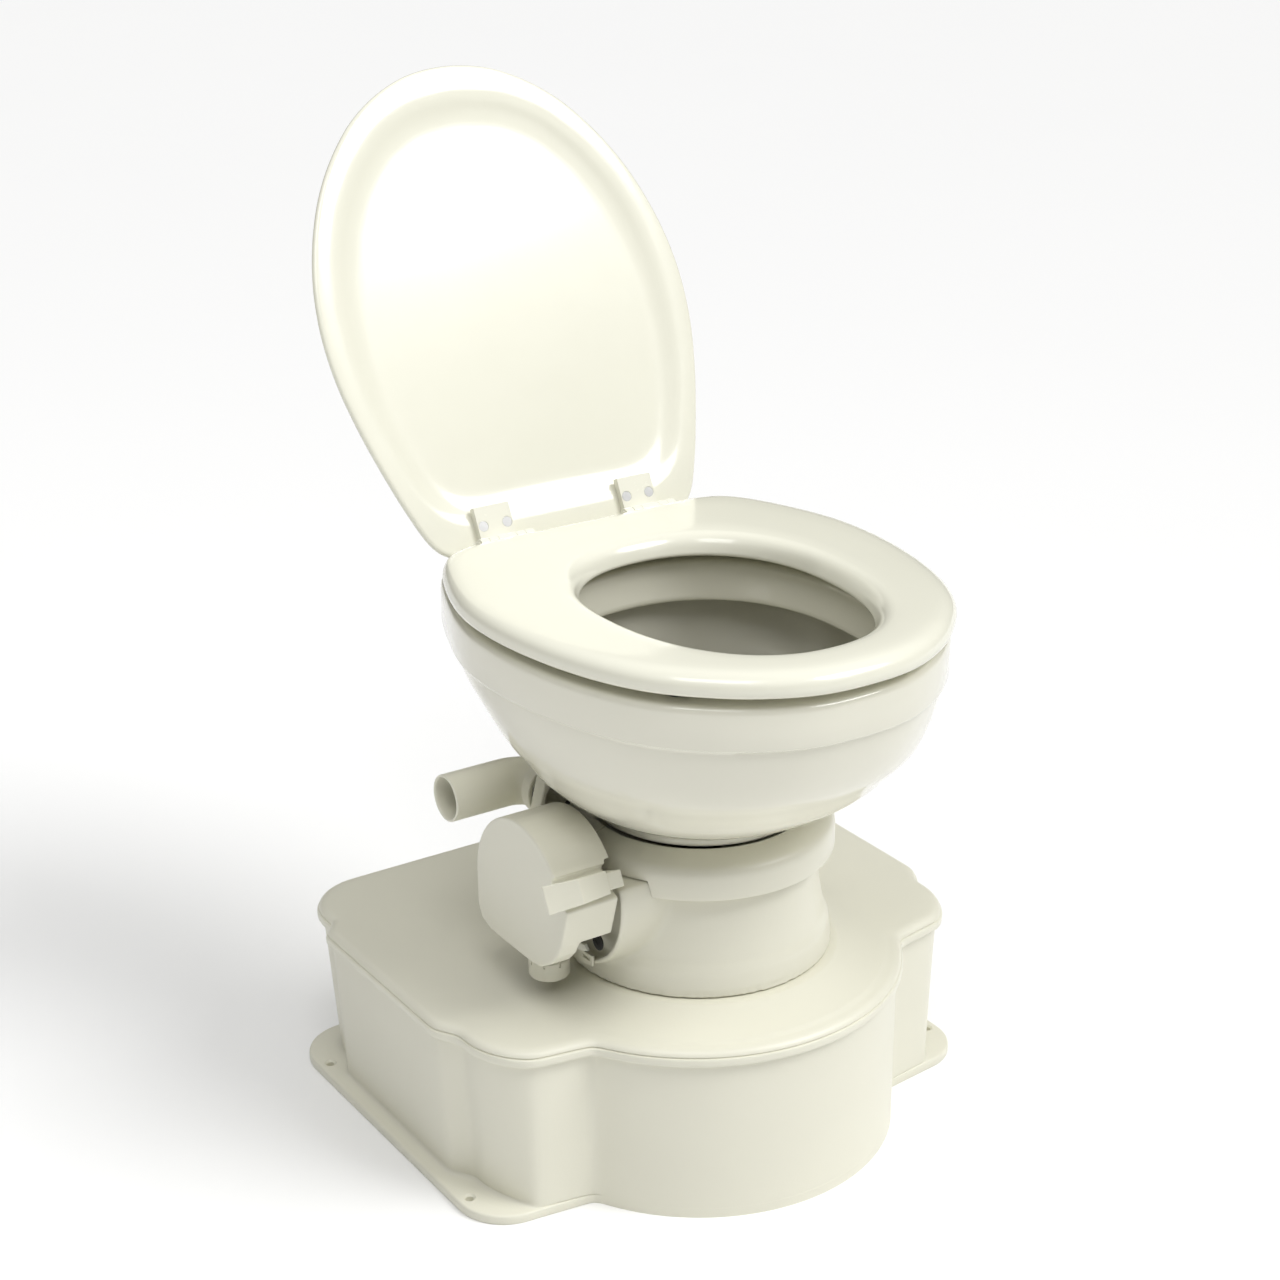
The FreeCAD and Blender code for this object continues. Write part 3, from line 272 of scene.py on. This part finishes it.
def remeshed(node, voxel, weights, rounds, name=None):
    me = welded(node)
    ob = bpy.data.objects.new("tmp", me)
    scene.collection.objects.link(ob)
    r = ob.modifiers.new("r", "REMESH")
    r.mode, r.voxel_size, r.adaptivity = "VOXEL", voxel * MM, 0.0
    bpy.context.view_layer.update()
    out = bpy.data.meshes.new_from_object(ob.evaluated_get(bpy.context.evaluated_depsgraph_get()))
    bpy.data.objects.remove(ob)
    relax(out, weights, rounds)
    return finish_piece(name or node + "_moulded", out, node, sharp=None)


def resample(pts, n):
    """a closed smooth outline through pts as n points (Catmull-Rom, then even in angle order)"""
    p = np.array(pts, float)
    m = len(p)
    t = np.arange(n) * m / n
    i = t.astype(int)
    f = (t - i)[:, None]
    p0, p1, p2, p3 = p[(i - 1) % m], p[i % m], p[(i + 1) % m], p[(i + 2) % m]
    return 0.5 * (2 * p1 + (p2 - p0) * f + (2 * p0 - 5 * p1 + 4 * p2 - p3) * f ** 2 + (3 * p1 - p0 - 3 * p2 + p3) * f ** 3)


def blur(p, k):
    for _ in range(k):
        p = 0.5 * p + 0.25 * (np.roll(p, 1, 0) + np.roll(p, -1, 0))
    return p


def at_z(p, z):
    return [(x, y, z) for x, y in p]


# ---------------------------------------------------------------- holding tank
T = dict(side=237.0, inner=225.0, fside=228.5, finner=216.0, rear=266.0, frear=260.0, corner=45.0, b=169.0, bm=7.5, fb=163.5, fbm=-1.5)


def walk(keys, counts):
    out = []
    p = keys[0]
    for k, c in zip(keys[1:], counts):
        if not isinstance(k[0], tuple):
            for i in range(c):
                out.append((p[0] + (k[0] - p[0]) * i / c, p[1] + (k[1] - p[1]) * i / c))
            p = k
        else:   # an arc through a middle point
            mid, end = k[0], k[1]
            ax, ay, bx, by, cx, cy = *p, *mid, *end
            d = 2 * (ax * (by - cy) + bx * (cy - ay) + cx * (ay - by))
            ux = ((ax * ax + ay * ay) * (by - cy) + (bx * bx + by * by) * (cy - ay) + (cx * cx + cy * cy) * (ay - by)) / d
            uy = ((ax * ax + ay * ay) * (cx - bx) + (bx * bx + by * by) * (ax - cx) + (cx * cx + cy * cy) * (bx - ax)) / d
            r = math.hypot(ax - ux, ay - uy)
            a0, a1 = math.atan2(ay - uy, ax - ux), math.atan2(cy - uy, cx - ux)
            if a1 > a0:
                a1 -= 2 * math.pi
            for i in range(c):
                t = a0 + (a1 - a0) * i / c
                out.append((ux + r * math.cos(t), uy + r * math.sin(t)))
            p = end
    return out, p


COUNTS = [24, 14, 8, 7, 32, 7, 3, 14, 8, 4, 44]


def tank_keys(k, ins):
    m = lambda a, b: T[a] * (1 - k) + T[b] * k
    xs, xi, yr, rb, yb = m("fside", "side") - ins, m("finner", "inner") - ins, m("frear", "rear") - ins, m("fb", "b") - ins, m("fbm", "bm")
    rc = max(T["corner"] - ins, 5)
    y1, y0 = 196.0 - ins * 0.4, 8.0 + ins * 0.4
    yw, xw, xj, yf = -66.0 + ins, 196.0 - ins * 0.6, 150.0 - ins * 0.6, -18.0 + ins * 0.3
    a = math.atan2(-math.sqrt(max(rb * rb - (xj - 6) ** 2, 1)), xj - 6)
    bj = (rb * math.cos(a), yb + rb * math.sin(a))
    am = (a - math.pi / 2) / 2
    q = math.sqrt(0.5)
    return [(0, yr), (xi - rc, yr), ((xi - rc + rc * q, yr - rc + rc * q), (xi, yr - rc)), (xi, y1 + 10), (xs, y1 - 4), (xs, y0 + 6), (xi, y0 - 14), (xi, yf),
            ((xi - 8.5, yf - 28), (xw, yw)), (xj, yw - 8), bj, ((rb * math.cos(am), yb + rb * math.sin(am)), (0, yb - rb))]


def loop_of(keys, soft=2):
    half, end = walk(keys, COUNTS)
    full = half + [end] + [(-x, y) for x, y in reversed(half[1:])]
    return blur(np.array(full), soft)


def tank_loop(k, ins=0.0, soft=2):
    return loop_of(tank_keys(k, ins), soft)


def flange_loop(grow, soft=1):
    w = tank_keys(0.03, 0.0)
    s = 243.0 + grow
    keys = [(0, 271 + grow), (198, 271 + grow), ((229.8 + grow * 0.7, 257.8 + grow * 0.7), (s, 226)), (s, 206), (s, 192), (s, 14), (s, -6), (s, -24),
            ((231 + grow * 0.7, -55 - grow * 0.7), (200, -68 - grow)), (150, -74 - grow), w[10], w[11]]
    return loop_of(keys, soft)


def deck_z(r):
    s = np.clip((178.0 - r) / 65.0, 0, 1)
    return 150.0 + 13.0 * s ** 2.45


P = tank_loop(1, 4.0)
theta = np.arctan2(P[:, 1] + 3, P[:, 0])
circ = lambda r, y0: np.stack([r * np.cos(theta), y0 + r * np.sin(theta)], 1)
L = []
add = lambda p, z: L.append([(x, y, (z if np.isscalar(z) else z[i])) for i, (x, y) in enumerate(p)])
inner_lo, inner_hi = tank_loop(0.04, 4.5), tank_loop(1, 4.5)
add(inner_lo, 5.0)
add(inner_hi, 143.5)
for t in (0.02, 0.35, 0.7, 1.0):
    add(inner_hi + (circ(46, 0) - inner_hi) * t, 144.0)
add(circ(46, 0), 150.0)
add(circ(46, 0), 162.3)
add(circ(47, 0), 163.0)
for r in (70, 95, 110):
    add(circ(r, -3 * (r - 46) / 64), 163.0)
add(circ(112.2, -3), 162.9)
C = circ(113, -3)
for t in np.linspace(1, 0, 34):
    q = P + (C - P) * t
    r = np.hypot(q[:, 0], q[:, 1] + 3)
    k = np.clip(t * 6, 0, 1)
    k = k * k * (3 - 2 * k)
    add(q, 150.0 + (deck_z(r) - 150.0) * k if t < 0.985 else deck_z(r) - 0.15)
for ins, z in ((1.8, 149.75), (-0.2, 149.1), (-1.8, 148.0), (-3.0, 146.6), (-3.5, 145.4), (-3.3, 144.9), (-2.7, 144.6), (-2.9, 144.25), (-4.2, 143.9), (-4.8, 143.2), (-5.0, 142.2),
               (-5.0, 139.2), (-4.8, 138.1), (-4.2, 137.4), (-3.2, 137.05), (-1.0, 136.9), (-0.2, 136.5), (0.0, 135.5)):
    add(tank_loop(1, ins), z)
for z in (120, 100, 80, 60, 40, 22, 14):
    add(tank_loop(z / 137.0), z)
base, flo = tank_loop(0.06, 0.0), flange_loop(-2.2)
for t, z in ((0.0, 11.4), (0.05, 9.9), (0.14, 8.9), (0.3, 8.25), (0.55, 8.0), (1.0, 8.0)):
    add(base + (flo - base) * t, z)
for gr, z in ((-1.1, 7.75), (-0.35, 7.1), (0.0, 6.0), (0.0, 1.2), (-0.5, 0.3), (-1.2, 0.0)):
    add(flange_loop(gr), z)
tank = from_arrays("tank_shell", *chain(L, (0, 0, 5.0), (0, 0, 0.0)))
cutters = [tube_mesh("hole", (sx * 232.8, y, -3), (0, 0, 1), [(3.4, 0), (3.4, 9.6), (5.6, 11.4), (5.6, 16)], 36) for sx in (-1, 1) for y in (215.9, -23.8)]
tank = boolean(tank, cutters)
finish_piece("holding_tank", tank, "tank_body", sharp=34)


# ---------------------------------------------------------------- pedestal and its clamp band
def pedestal_weights(co):
    x, y, z = co[:, 0] * 1000, co[:, 1] * 1000, co[:, 2] * 1000
    r = np.hypot(x, y)
    b = np.hypot(y, z - 242.0)
    near = np.exp(-((b - 65.8) / 6.0) ** 2) * np.clip((-x - 40) / 20, 0, 1) * np.clip((108.0 - r) / 8 + 0.4, 0, 1) * (x > -112)
    return np.clip(0.12 + near * 0.95, 0, 1)


remeshed("pedestal", 1.7, pedestal_weights, 28)

BAND = [(96.3, 249.6), (96.9, 249.0), (108.6, 249.0), (109.9, 249.5), (110.4, 250.8), (110.4, 266.5), (110.1, 269.6), (109.0, 273.0), (107.2, 275.4), (104.6, 277.0), (100.5, 278.9), (95.5, 280.9), (91.5, 282.6), (88.6, 283.5),
        (88.0, 283.0), (88.0, 280.6), (96.4, 276.0), (102.4, 271.0), (96.4, 268.2)]


def boss_slot(sgn):
    """the opening that hugs the round boss, up to z 263"""
    pts = [(-sgn * 1.0, 235.0)] + [(sgn * 66.3 * math.cos(t), 242.0 + 66.3 * math.sin(t)) for t in np.linspace(-0.105, math.asin(21.0 / 66.3), 14)] + [(-sgn * 1.0, 263.0)]
    n = len(pts)
    v = [(x, y, z) for x in (-135, -60) for y, z in pts]
    f = [(i, (i + 1) % n, n + (i + 1) % n, n + i) for i in range(n)] + [tuple(range(n)), tuple(n + i for i in range(n))]
    return from_arrays("slot", v, f)


for node, sgn in (("clamp_band_front", -1), ("clamp_band_rear", 1)):
    loops = []
    for i in range(151):
        t = math.radians(0.3 + 179.4 * i / 150) * sgn
        loops.append([(r * math.cos(t), r * math.sin(t), z) for r, z in BAND])
    n = len(BAND)
    v, f = chain(loops)
    f += [tuple(range(n))[::-1], tuple(150 * n + j for j in range(n))]
    me = from_arrays(node + "_band", v, f)
    cu = [boss_slot(sgn)]
    if sgn > 0:
        cu.append(tube_mesh("scallop", (-95, 57, 290.5), (0, 1, 0), [(24.3, 0), (24.3, 28)], 64))
    finish_piece(node + "_moulded", boolean(me, cu), node, sharp=34)


# ---------------------------------------------------------------- china bowl, seat and lid
def egg(half, rear, front, mid, n=240, p=2.25):
    out = []
    for i in range(n):
        t = 2 * math.pi * i / n
        c, s = math.cos(t), math.sin(t)
        out.append((half * abs(c) ** (2 / p) * (1 if c >= 0 else -1), mid + ((rear - mid) if s > 0 else (mid - front)) * abs(s) ** (2 / p) * (1 if s >= 0 else -1)))
    return out


NB = 192


def around(pts, n=64):
    q = sorted((math.atan2(y, x) % (2 * math.pi), math.hypot(x, y)) for x, y in pts)
    a = np.array([q[-1][0] - 2 * math.pi] + [v[0] for v in q] + [q[0][0] + 2 * math.pi])
    r = np.array([q[-1][1]] + [v[1] for v in q] + [q[0][1]])
    t = np.arange(n) * 2 * math.pi / n
    rr = np.interp(t, a, r)
    return np.stack([rr * np.cos(t), rr * np.sin(t)], 1)


def outline(pts, n=NB, soft=1):
    return blur(resample(around(pts), n), soft)


def both(h):
    return [(w, y) for y, w in h] + [(-w, y) for y, w in reversed(h[1:-1])]


def inset(p, d, mid=(0.0, -10.0)):
    v = p - np.array(mid)
    r = np.hypot(v[:, 0], v[:, 1])[:, None]
    return np.array(mid) + v * (1 - d / r)


rim_half = [(-208, 0), (-207.5, 19), (-205, 38), (-199, 58), (-191, 74), (-181.5, 91), (-171, 105), (-158, 119), (-146, 132), (-130, 143), (-111, 153), (-92, 160.5), (-67, 168.5), (-42, 174), (-10, 178), (24, 179), (47, 178),
            (76, 172.5), (105, 163), (125, 155.5), (145, 147), (165, 138), (178, 130), (186, 121), (190.5, 108), (192, 90), (192, 45), (192, 0)]
E = outline(both(rim_half), soft=2)
low = outline(egg(179, 137, -206, -6))
foot = outline([(81 * math.cos(i * math.pi / 120), -2 + 81 * math.sin(i * math.pi / 120)) for i in range(240)], soft=0)
wi = outline(egg(152, 114, -193, -15))
mouth = outline(egg(115, 100, -178, -28))
c50 = outline(egg(50, 50, -50, 0, p=2), soft=0)
c46 = c50 * 46 / 50
mixk = lambda a, b, k: a * k + b * (1 - k)
prof = np.array([(302.0, 0.20, 0.0), (308, 0.33, 0.0), (318, 0.46, 0.0), (330, 0.58, 0.0), (345, 0.69, 0.08), (362, 0.81, 0.25), (382, 0.893, 0.6), (400, 0.945, 0.9), (415, 0.972, 1.0)])


def smooth_curve(x, xp, yp):
    """a soft interpolation with limited slopes"""
    h = np.diff(xp)
    d = np.diff(yp) / h
    m = np.zeros(len(xp))
    for i in range(1, len(xp) - 1):
        m[i] = 0 if d[i - 1] * d[i] <= 0 else 2 * d[i - 1] * d[i] / (d[i - 1] + d[i])
    m[0], m[-1] = d[0], d[-1]
    i = np.clip(np.searchsorted(xp, x) - 1, 0, len(h) - 1)
    t = (x - xp[i]) / h[i]
    return (1 + 2 * t) * (1 - t) ** 2 * yp[i] + t * (1 - t) ** 2 * h[i] * m[i] + t * t * (3 - 2 * t) * yp[i + 1] + t * t * (t - 1) * h[i] * m[i + 1]


ringc = lambda r, y0=-1.5: c50 * r / 50 + np.array((0, y0))
B = []
addb = lambda p, z: B.append(at_z(p, z))
addb(ringc(66, 0), 284.6)
for r, z in ((83.6, 284.4), (85.4, 284.9), (86, 286.2), (86, 289.6), (85.2, 291.2), (82.6, 293.8), (82.0, 295.2), (82.6, 296.6), (85.5, 298.8), (90.5, 301.4)):
    addb(ringc(r), z)
for z in [302.6, 304.0, 305.5, 307.2, 309.2] + list(np.linspace(311.5, 414.2, 28)):
    k, r_ = smooth_curve(z, prof[:, 0], prof[:, 1]), smooth_curve(z, prof[:, 0], prof[:, 2])
    p = mixk(mixk(E, low, r_), foot, k)
    q = np.clip((z - 301.4) / 9.0, 0, 1)
    q = q * q * (3 - 2 * q)
    addb(p * q + ringc(92) * (1 - q), z)
for d, z in ((2.6, 414.7), (1.2, 414.9), (0.35, 415.5), (0.0, 416.6), (0.0, 430.0), (0.0, 442.5), (0.5, 445.6), (1.8, 447.6), (4.0, 448.7), (7.0, 449.0)):
    addb(inset(E, d), z)
for d, z in ((-9.0, 449.0), (-5.0, 448.9), (-2.4, 448.2), (-0.7, 446.6), (0.0, 444.0), (0.0, 432.0), (0.6, 420.0), (0.4, 416.4), (-0.8, 414.4), (-4.0, 413.4)):
    addb(inset(mouth, d), z)
addb(mixk(wi, mouth, 0.6), 413.0)
n_out = len(B)
for k, z in ((0.985, 410.0), (0.97, 402.0), (0.94, 391.0), (0.90, 380.0), (0.85, 368.0), (0.79, 356.0), (0.715, 345.0), (0.63, 335.0), (0.55, 326.0), (0.46, 318.0), (0.38, 311.5), (0.30, 306.0), (0.21, 301.0), (0.13, 297.6), (0.05, 295.0)):
    addb(mixk(wi, c50, k), z)
for r, z in ((48.0, 293.2), (46.3, 292.0), (46.0, 290.9), (50.0, 290.8), (64.4, 290.8), (64.4, 285.0)):
    addb(ringc(r, 0), z)
v, f = chain(B, ring=True)
me = from_arrays("bowl_china", v, f)
me.materials.append(M["china"])
me.materials.append(M["bowl_inside"])
# faces inside the bowl take the darker glaze, which is painted shade
for poly in me.polygons:
    lo_i = min(poly.vertices) // NB
    poly.material_index = 1 if (lo_i >= n_out - 2 and max(poly.vertices) // NB <= len(B) - 3) else 0
me = boolean(me, [tube_mesh("collar_room", (-95, 57, 290.5), (0, 1, 0), [(24.3, 0), (24.3, 28)], 72)])
finish_piece("china_bowl", me, "bowl", sharp=50, keep_mats=True)

seat_half = [(-215, 0), (-214.5, 19), (-212, 38), (-205.5, 58), (-197.5, 74), (-187.5, 91), (-177, 105), (-163, 119), (-151, 132), (-134, 144), (-114, 155), (-94, 163), (-68, 171), (-42, 176.5), (-10, 181), (24, 182.3), (47, 181),
             (76, 175), (100, 167), (120, 159), (137, 151), (150, 143), (160, 133), (165.5, 120), (167.5, 104), (167.5, 60), (167.5, 30), (167.5, 0)]
so = outline(both(seat_half), soft=2)
op = lambda d: outline(egg(100 + d, 88 + d, -163 - d, -25, p=2.2))
S = []
adds = lambda p, z: S.append(at_z(p, z))
for d, z in ((7.0, 457.0), (4.4, 457.1), (2.4, 457.7), (0.9, 459.0), (0.2, 461.0), (0.0, 463.2), (0.3, 465.6), (1.2, 468.0), (2.8, 470.2), (5.0, 472.0), (8.0, 473.5), (12.0, 474.5), (17.0, 475.0)):
    adds(inset(so, d), z)
mid_o, mid_i = inset(so, 17.0), op(15.0)
for t in (0.25, 0.5, 0.75):
    adds(mixk(mid_i, mid_o, t), 475.0 + 0.2 * math.sin(math.pi * t))
for d, z in ((15.0, 475.0), (11.5, 474.4), (8.2, 473.0), (5.4, 470.8), (3.2, 467.8), (1.6, 464.4), (0.5, 461.2), (0.0, 459.6), (0.6, 458.2), (2.2, 457.3), (4.6, 457.0)):
    adds(op(d), z)
seat_me = from_arrays("seat_ring", *chain(S, ring=True))
so_ = finish_piece("seat_shell", seat_me, "seat", sharp=None)

half = [(-12, 0), (-12, 60), (-11.3, 98), (-8.5, 113), (-3, 122.5), (6, 129), (16, 133.5), (30, 139.2), (45, 145), (61, 150.3), (82, 157), (103, 163), (124, 168), (144, 172), (165, 174.3), (185, 175.2), (204, 174.4),
        (224, 172), (243, 168), (263, 162.2), (282, 155), (301, 146.3), (321, 134.2), (340, 119.8), (357.7, 103.8), (373, 84.5), (385, 64), (394, 42), (398.3, 20), (399.5, 0)]
panel_half = [(22, 0), (22, 70), (24, 92), (32, 108), (50, 122), (80, 134), (120, 145), (160, 150), (200, 150), (240, 144), (280, 130), (315, 108), (345, 78), (362, 44), (368, 0)]


def even(pts, n):
    q = np.array(list(pts) + [pts[0]], float)
    run = np.concatenate([[0], np.cumsum(np.hypot(*np.diff(q, axis=0).T))])
    t = np.arange(n) * run[-1] / n
    return np.stack([np.interp(t, run, q[:, 0]), np.interp(t, run, q[:, 1])], 1)


HY, HZ = 174.8, 465.0
under_z = HZ + 16.8


def lid_plan(h, soft):
    pts = [(w, HY - 4.9 - s) for s, w in h] + [(-w, HY - 4.9 - s) for s, w in reversed(h[1:-1])]
    p = even(pts, 240)
    p = resample(even(pts, 80), 240) if soft < 0 else p
    return blur(p, abs(soft))


LC = np.array((0.0, HY - 4.9 - 193.0))
lo_ = lid_plan(half, 5)
pn = lid_plan(panel_half, 8)


def polar(p, n=240, c=LC):
    v = p - c
    a = np.arctan2(v[:, 1], v[:, 0]) % (2 * math.pi)
    r = np.hypot(v[:, 0], v[:, 1])
    o = np.argsort(a)
    a, r = a[o], r[o]
    a = np.concatenate([[a[-1] - 2 * math.pi], a, [a[0] + 2 * math.pi]])
    r = np.concatenate([[r[-1]], r, [r[0]]])
    t = np.arange(n) * 2 * math.pi / n
    rr = np.interp(t, a, r)
    return c + np.stack([rr * np.cos(t), rr * np.sin(t)], 1)


# the outline keeps its own points, and the panel is read along the same rays
v_ = lo_ - LC
ang = np.arctan2(v_[:, 1], v_[:, 0])
vp = pn - LC
pa, prr = np.arctan2(vp[:, 1], vp[:, 0]), np.hypot(vp[:, 0], vp[:, 1])
o_ = np.argsort(pa)
pa, prr = pa[o_], prr[o_]
pr_at = np.interp(ang, np.concatenate([[pa[-1] - 2 * math.pi], pa, [pa[0] + 2 * math.pi]]), np.concatenate([[prr[-1]], prr, [prr[0]]]))
pan = LC + np.stack([pr_at * np.cos(ang), pr_at * np.sin(ang)], 1)


def shrink(p, d):
    v = p - LC
    r = np.hypot(v[:, 0], v[:, 1])[:, None]
    return LC + v * (1 - d / r)


K = []
addk = lambda p, z: K.append(at_z(p, z))
for t in (0.15, 0.4, 0.7):
    addk(LC + (pan - LC) * t, under_z + 5.4)
for d, z in ((24.0, 5.4), (17.0, 5.3), (11.5, 4.9), (7.0, 4.1), (3.0, 2.9), (0.0, 1.8), (-3.5, 0.8), (-7.0, 0.25), (-11.0, 0.0)):
    addk(shrink(pan, d), under_z + z)
addk(mixk(shrink(lo_, 4.0), shrink(pan, -11.0), 0.5), under_z)
for d, z in ((4.0, 0.0), (2.2, 0.25), (0.8, 1.0), (0.1, 2.3), (0.0, 3.6), (0.7, 5.2), (2.2, 7.0), (4.6, 8.8), (8.0, 10.6), (12.0, 12.0), (17.0, 12.8), (23.0, 13.0)):
    addk(shrink(lo_, d), under_z + z)
for t in (0.8, 0.5, 0.2):
    addk(LC + (shrink(lo_, 23.0) - LC) * t, under_z + 13.0)
v, f = chain(K, (*LC, under_z + 5.4), (*LC, under_z + 13.0))
rot = Matrix.Translation((0, HY, HZ)) @ Matrix.Rotation(math.radians(-117.5), 4, "X") @ Matrix.Translation((0, -HY, -HZ))
v = [rot @ Vector(p) for p in v]
finish_piece("lid_shell", from_arrays("lid_panel", v, f), "lid", sharp=None)

# ---------------------------------------------------------------- elbow
PR, PW, PY, PZ, PX, BR = 19.5, 2.4, 100.5, 290.5, 175.0, 27.0
bx = -95.0 - BR


def elbow_at(s):
    """point and direction along the pipe's centre line"""
    l1 = PX + bx
    arc = BR * math.pi / 2
    if s <= l1:
        return Vector((-PX + s, PY, PZ)), Vector((1, 0, 0))
    if s <= l1 + arc:
        t = (s - l1) / BR
        return Vector((bx + BR * math.sin(t), PY - BR * (1 - math.cos(t)), PZ)), Vector((math.cos(t), -math.sin(t), 0))
    return Vector((bx + BR, PY - BR - (s - l1 - arc), PZ)), Vector((0, -1, 0))


total = PX + bx + BR * math.pi / 2 + (PY - BR - 66.0)
stations = [(s, PR) for s in np.linspace(2.2, total, 64)]
inner = [(s, PR - PW) for s in np.linspace(total, 1.2, 64)]
mouth_edge = [(0.35, PR - PW + 0.5), (0.0, PR - PW + 1.0), (0.0, PR - 0.9), (0.4, PR - 0.25), (1.1, PR)]
loops = []
for s, r in stations + inner + mouth_edge:
    c, d = elbow_at(max(s, 0.0))
    side = Vector((0, 0, 1)).cross(d)
    loops.append([c + side * r * math.cos(2 * math.pi * i / 72) + Vector((0, 0, 1)) * r * math.sin(2 * math.pi * i / 72) for i in range(72)])
finish_piece("elbow_pipe", from_arrays("elbow_tube", *chain(loops, ring=True)), "outlet_elbow", sharp=40)

# ---------------------------------------------------------------- smaller mouldings, edges rounded
remeshed("side_cover", 0.85, 0.6, 12, "cover_moulded")
remeshed("flush_pedal", 0.5, 0.6, 8, "pedal_moulded")
remeshed("rear_port", 0.8, 0.6, 14, "port_moulded")
for node, w in (("elbow_nut", 0.7), ("inlet_nut", 0.4), ("inlet_tail", 0.4), ("water_valve", 0.8), ("valve_bracket", 0.4), ("valve_lever", 0.5), ("spring_drum", 0.6),
                ("drum_cap", 0.6), ("hinge_post_left", 0.6), ("hinge_post_right", 0.6), ("lid_leaf_left", 0.5), ("lid_leaf_right", 0.5), ("seat_leaf_left", 0.5), ("seat_leaf_right", 0.5), ("hinge_pins", 0.45),
                ("seat_bumpers", 0.9), ("wall_grommet", 0.35), ("lid_leaf_screws", 0.2), ("deck_flange", 0.7)):
    soften(node, w)

# ---------------------------------------------------------------- floor and light
fl = bpy.data.objects.new("floor", bpy.data.meshes.new("floor"))
scene.collection.objects.link(fl)
fl.data.from_pydata([(-40, -40, 0), (40, -40, 0), (40, 40, 0), (-40, 40, 0)], [], [(0, 1, 2, 3)])
fl.data.materials.append(material("pale_floor", (0.92, 0.92, 0.918), 0.8, 0.003, 0.0, cloud=0.7, spec=0.08))
floor_glow = [n for n in fl.data.materials[0].node_tree.nodes if n.type == "BSDF_PRINCIPLED"][0]
floor_glow.inputs["Emission Color"].default_value = (1, 1, 1, 1)
floor_glow.inputs["Emission Strength"].default_value = 0.07

world = bpy.data.worlds.new("studio")
scene.world = world
world.use_nodes = True
wn = world.node_tree
bg = wn.nodes["Background"]
bg.inputs["Color"].default_value = (1.0, 1.0, 0.995, 1)
coord = wn.nodes.new("ShaderNodeTexCoord")
split = wn.nodes.new("ShaderNodeSeparateXYZ")
dome = wn.nodes.new("ShaderNodeMapRange")
dome.interpolation_type = "SMOOTHSTEP"
for key, value in (("From Min", 0.3), ("From Max", 0.9), ("To Min", 0.0), ("To Max", 0.85)):
    dome.inputs[key].default_value = value
wn.links.new(coord.outputs["Generated"], split.inputs[0])
wn.links.new(split.outputs["Z"], dome.inputs["Value"])
wn.links.new(dome.outputs["Result"], bg.inputs["Strength"])
bright = wn.nodes.new("ShaderNodeBackground")
bright.inputs["Color"].default_value = (1.0, 1.0, 1.0, 1)
path = wn.nodes.new("ShaderNodeLightPath")
pick = wn.nodes.new("ShaderNodeMixShader")
wn.links.new(path.outputs["Is Camera Ray"], pick.inputs["Fac"])
wn.links.new(bg.outputs["Background"], pick.inputs[1])
wn.links.new(bright.outputs["Background"], pick.inputs[2])
wn.links.new(pick.outputs["Shader"], wn.nodes["World Output"].inputs["Surface"])


def light(name, kind, loc, target, power, size=1.0, size_y=None, angle=0.0):
    l = bpy.data.lights.new(name, kind)
    l.energy = power
    if kind == "AREA":
        l.shape, l.size, l.size_y = "RECTANGLE", size, size_y or size
    else:
        l.angle = math.radians(angle)
    o = bpy.data.objects.new(name, l)
    scene.collection.objects.link(o)
    o.location = loc
    o.rotation_mode = "QUATERNION"
    o.rotation_quaternion = (Vector(target) - Vector(loc)).to_track_quat("-Z", "Y")
    return o


light("overhead", "SUN", (1.1, -1.25, 1.9), (0, 0, 0), 1.8, angle=30)
light("front_key", "AREA", (1.1, -2.7, 2.0), (0, 0.2, 0.6), 2.0, 1.0, 1.0)
light("left_top", "AREA", (-0.75, -0.7, 2.3), (-0.15, 0.0, 0.2), 11.0, 0.9, 0.9)
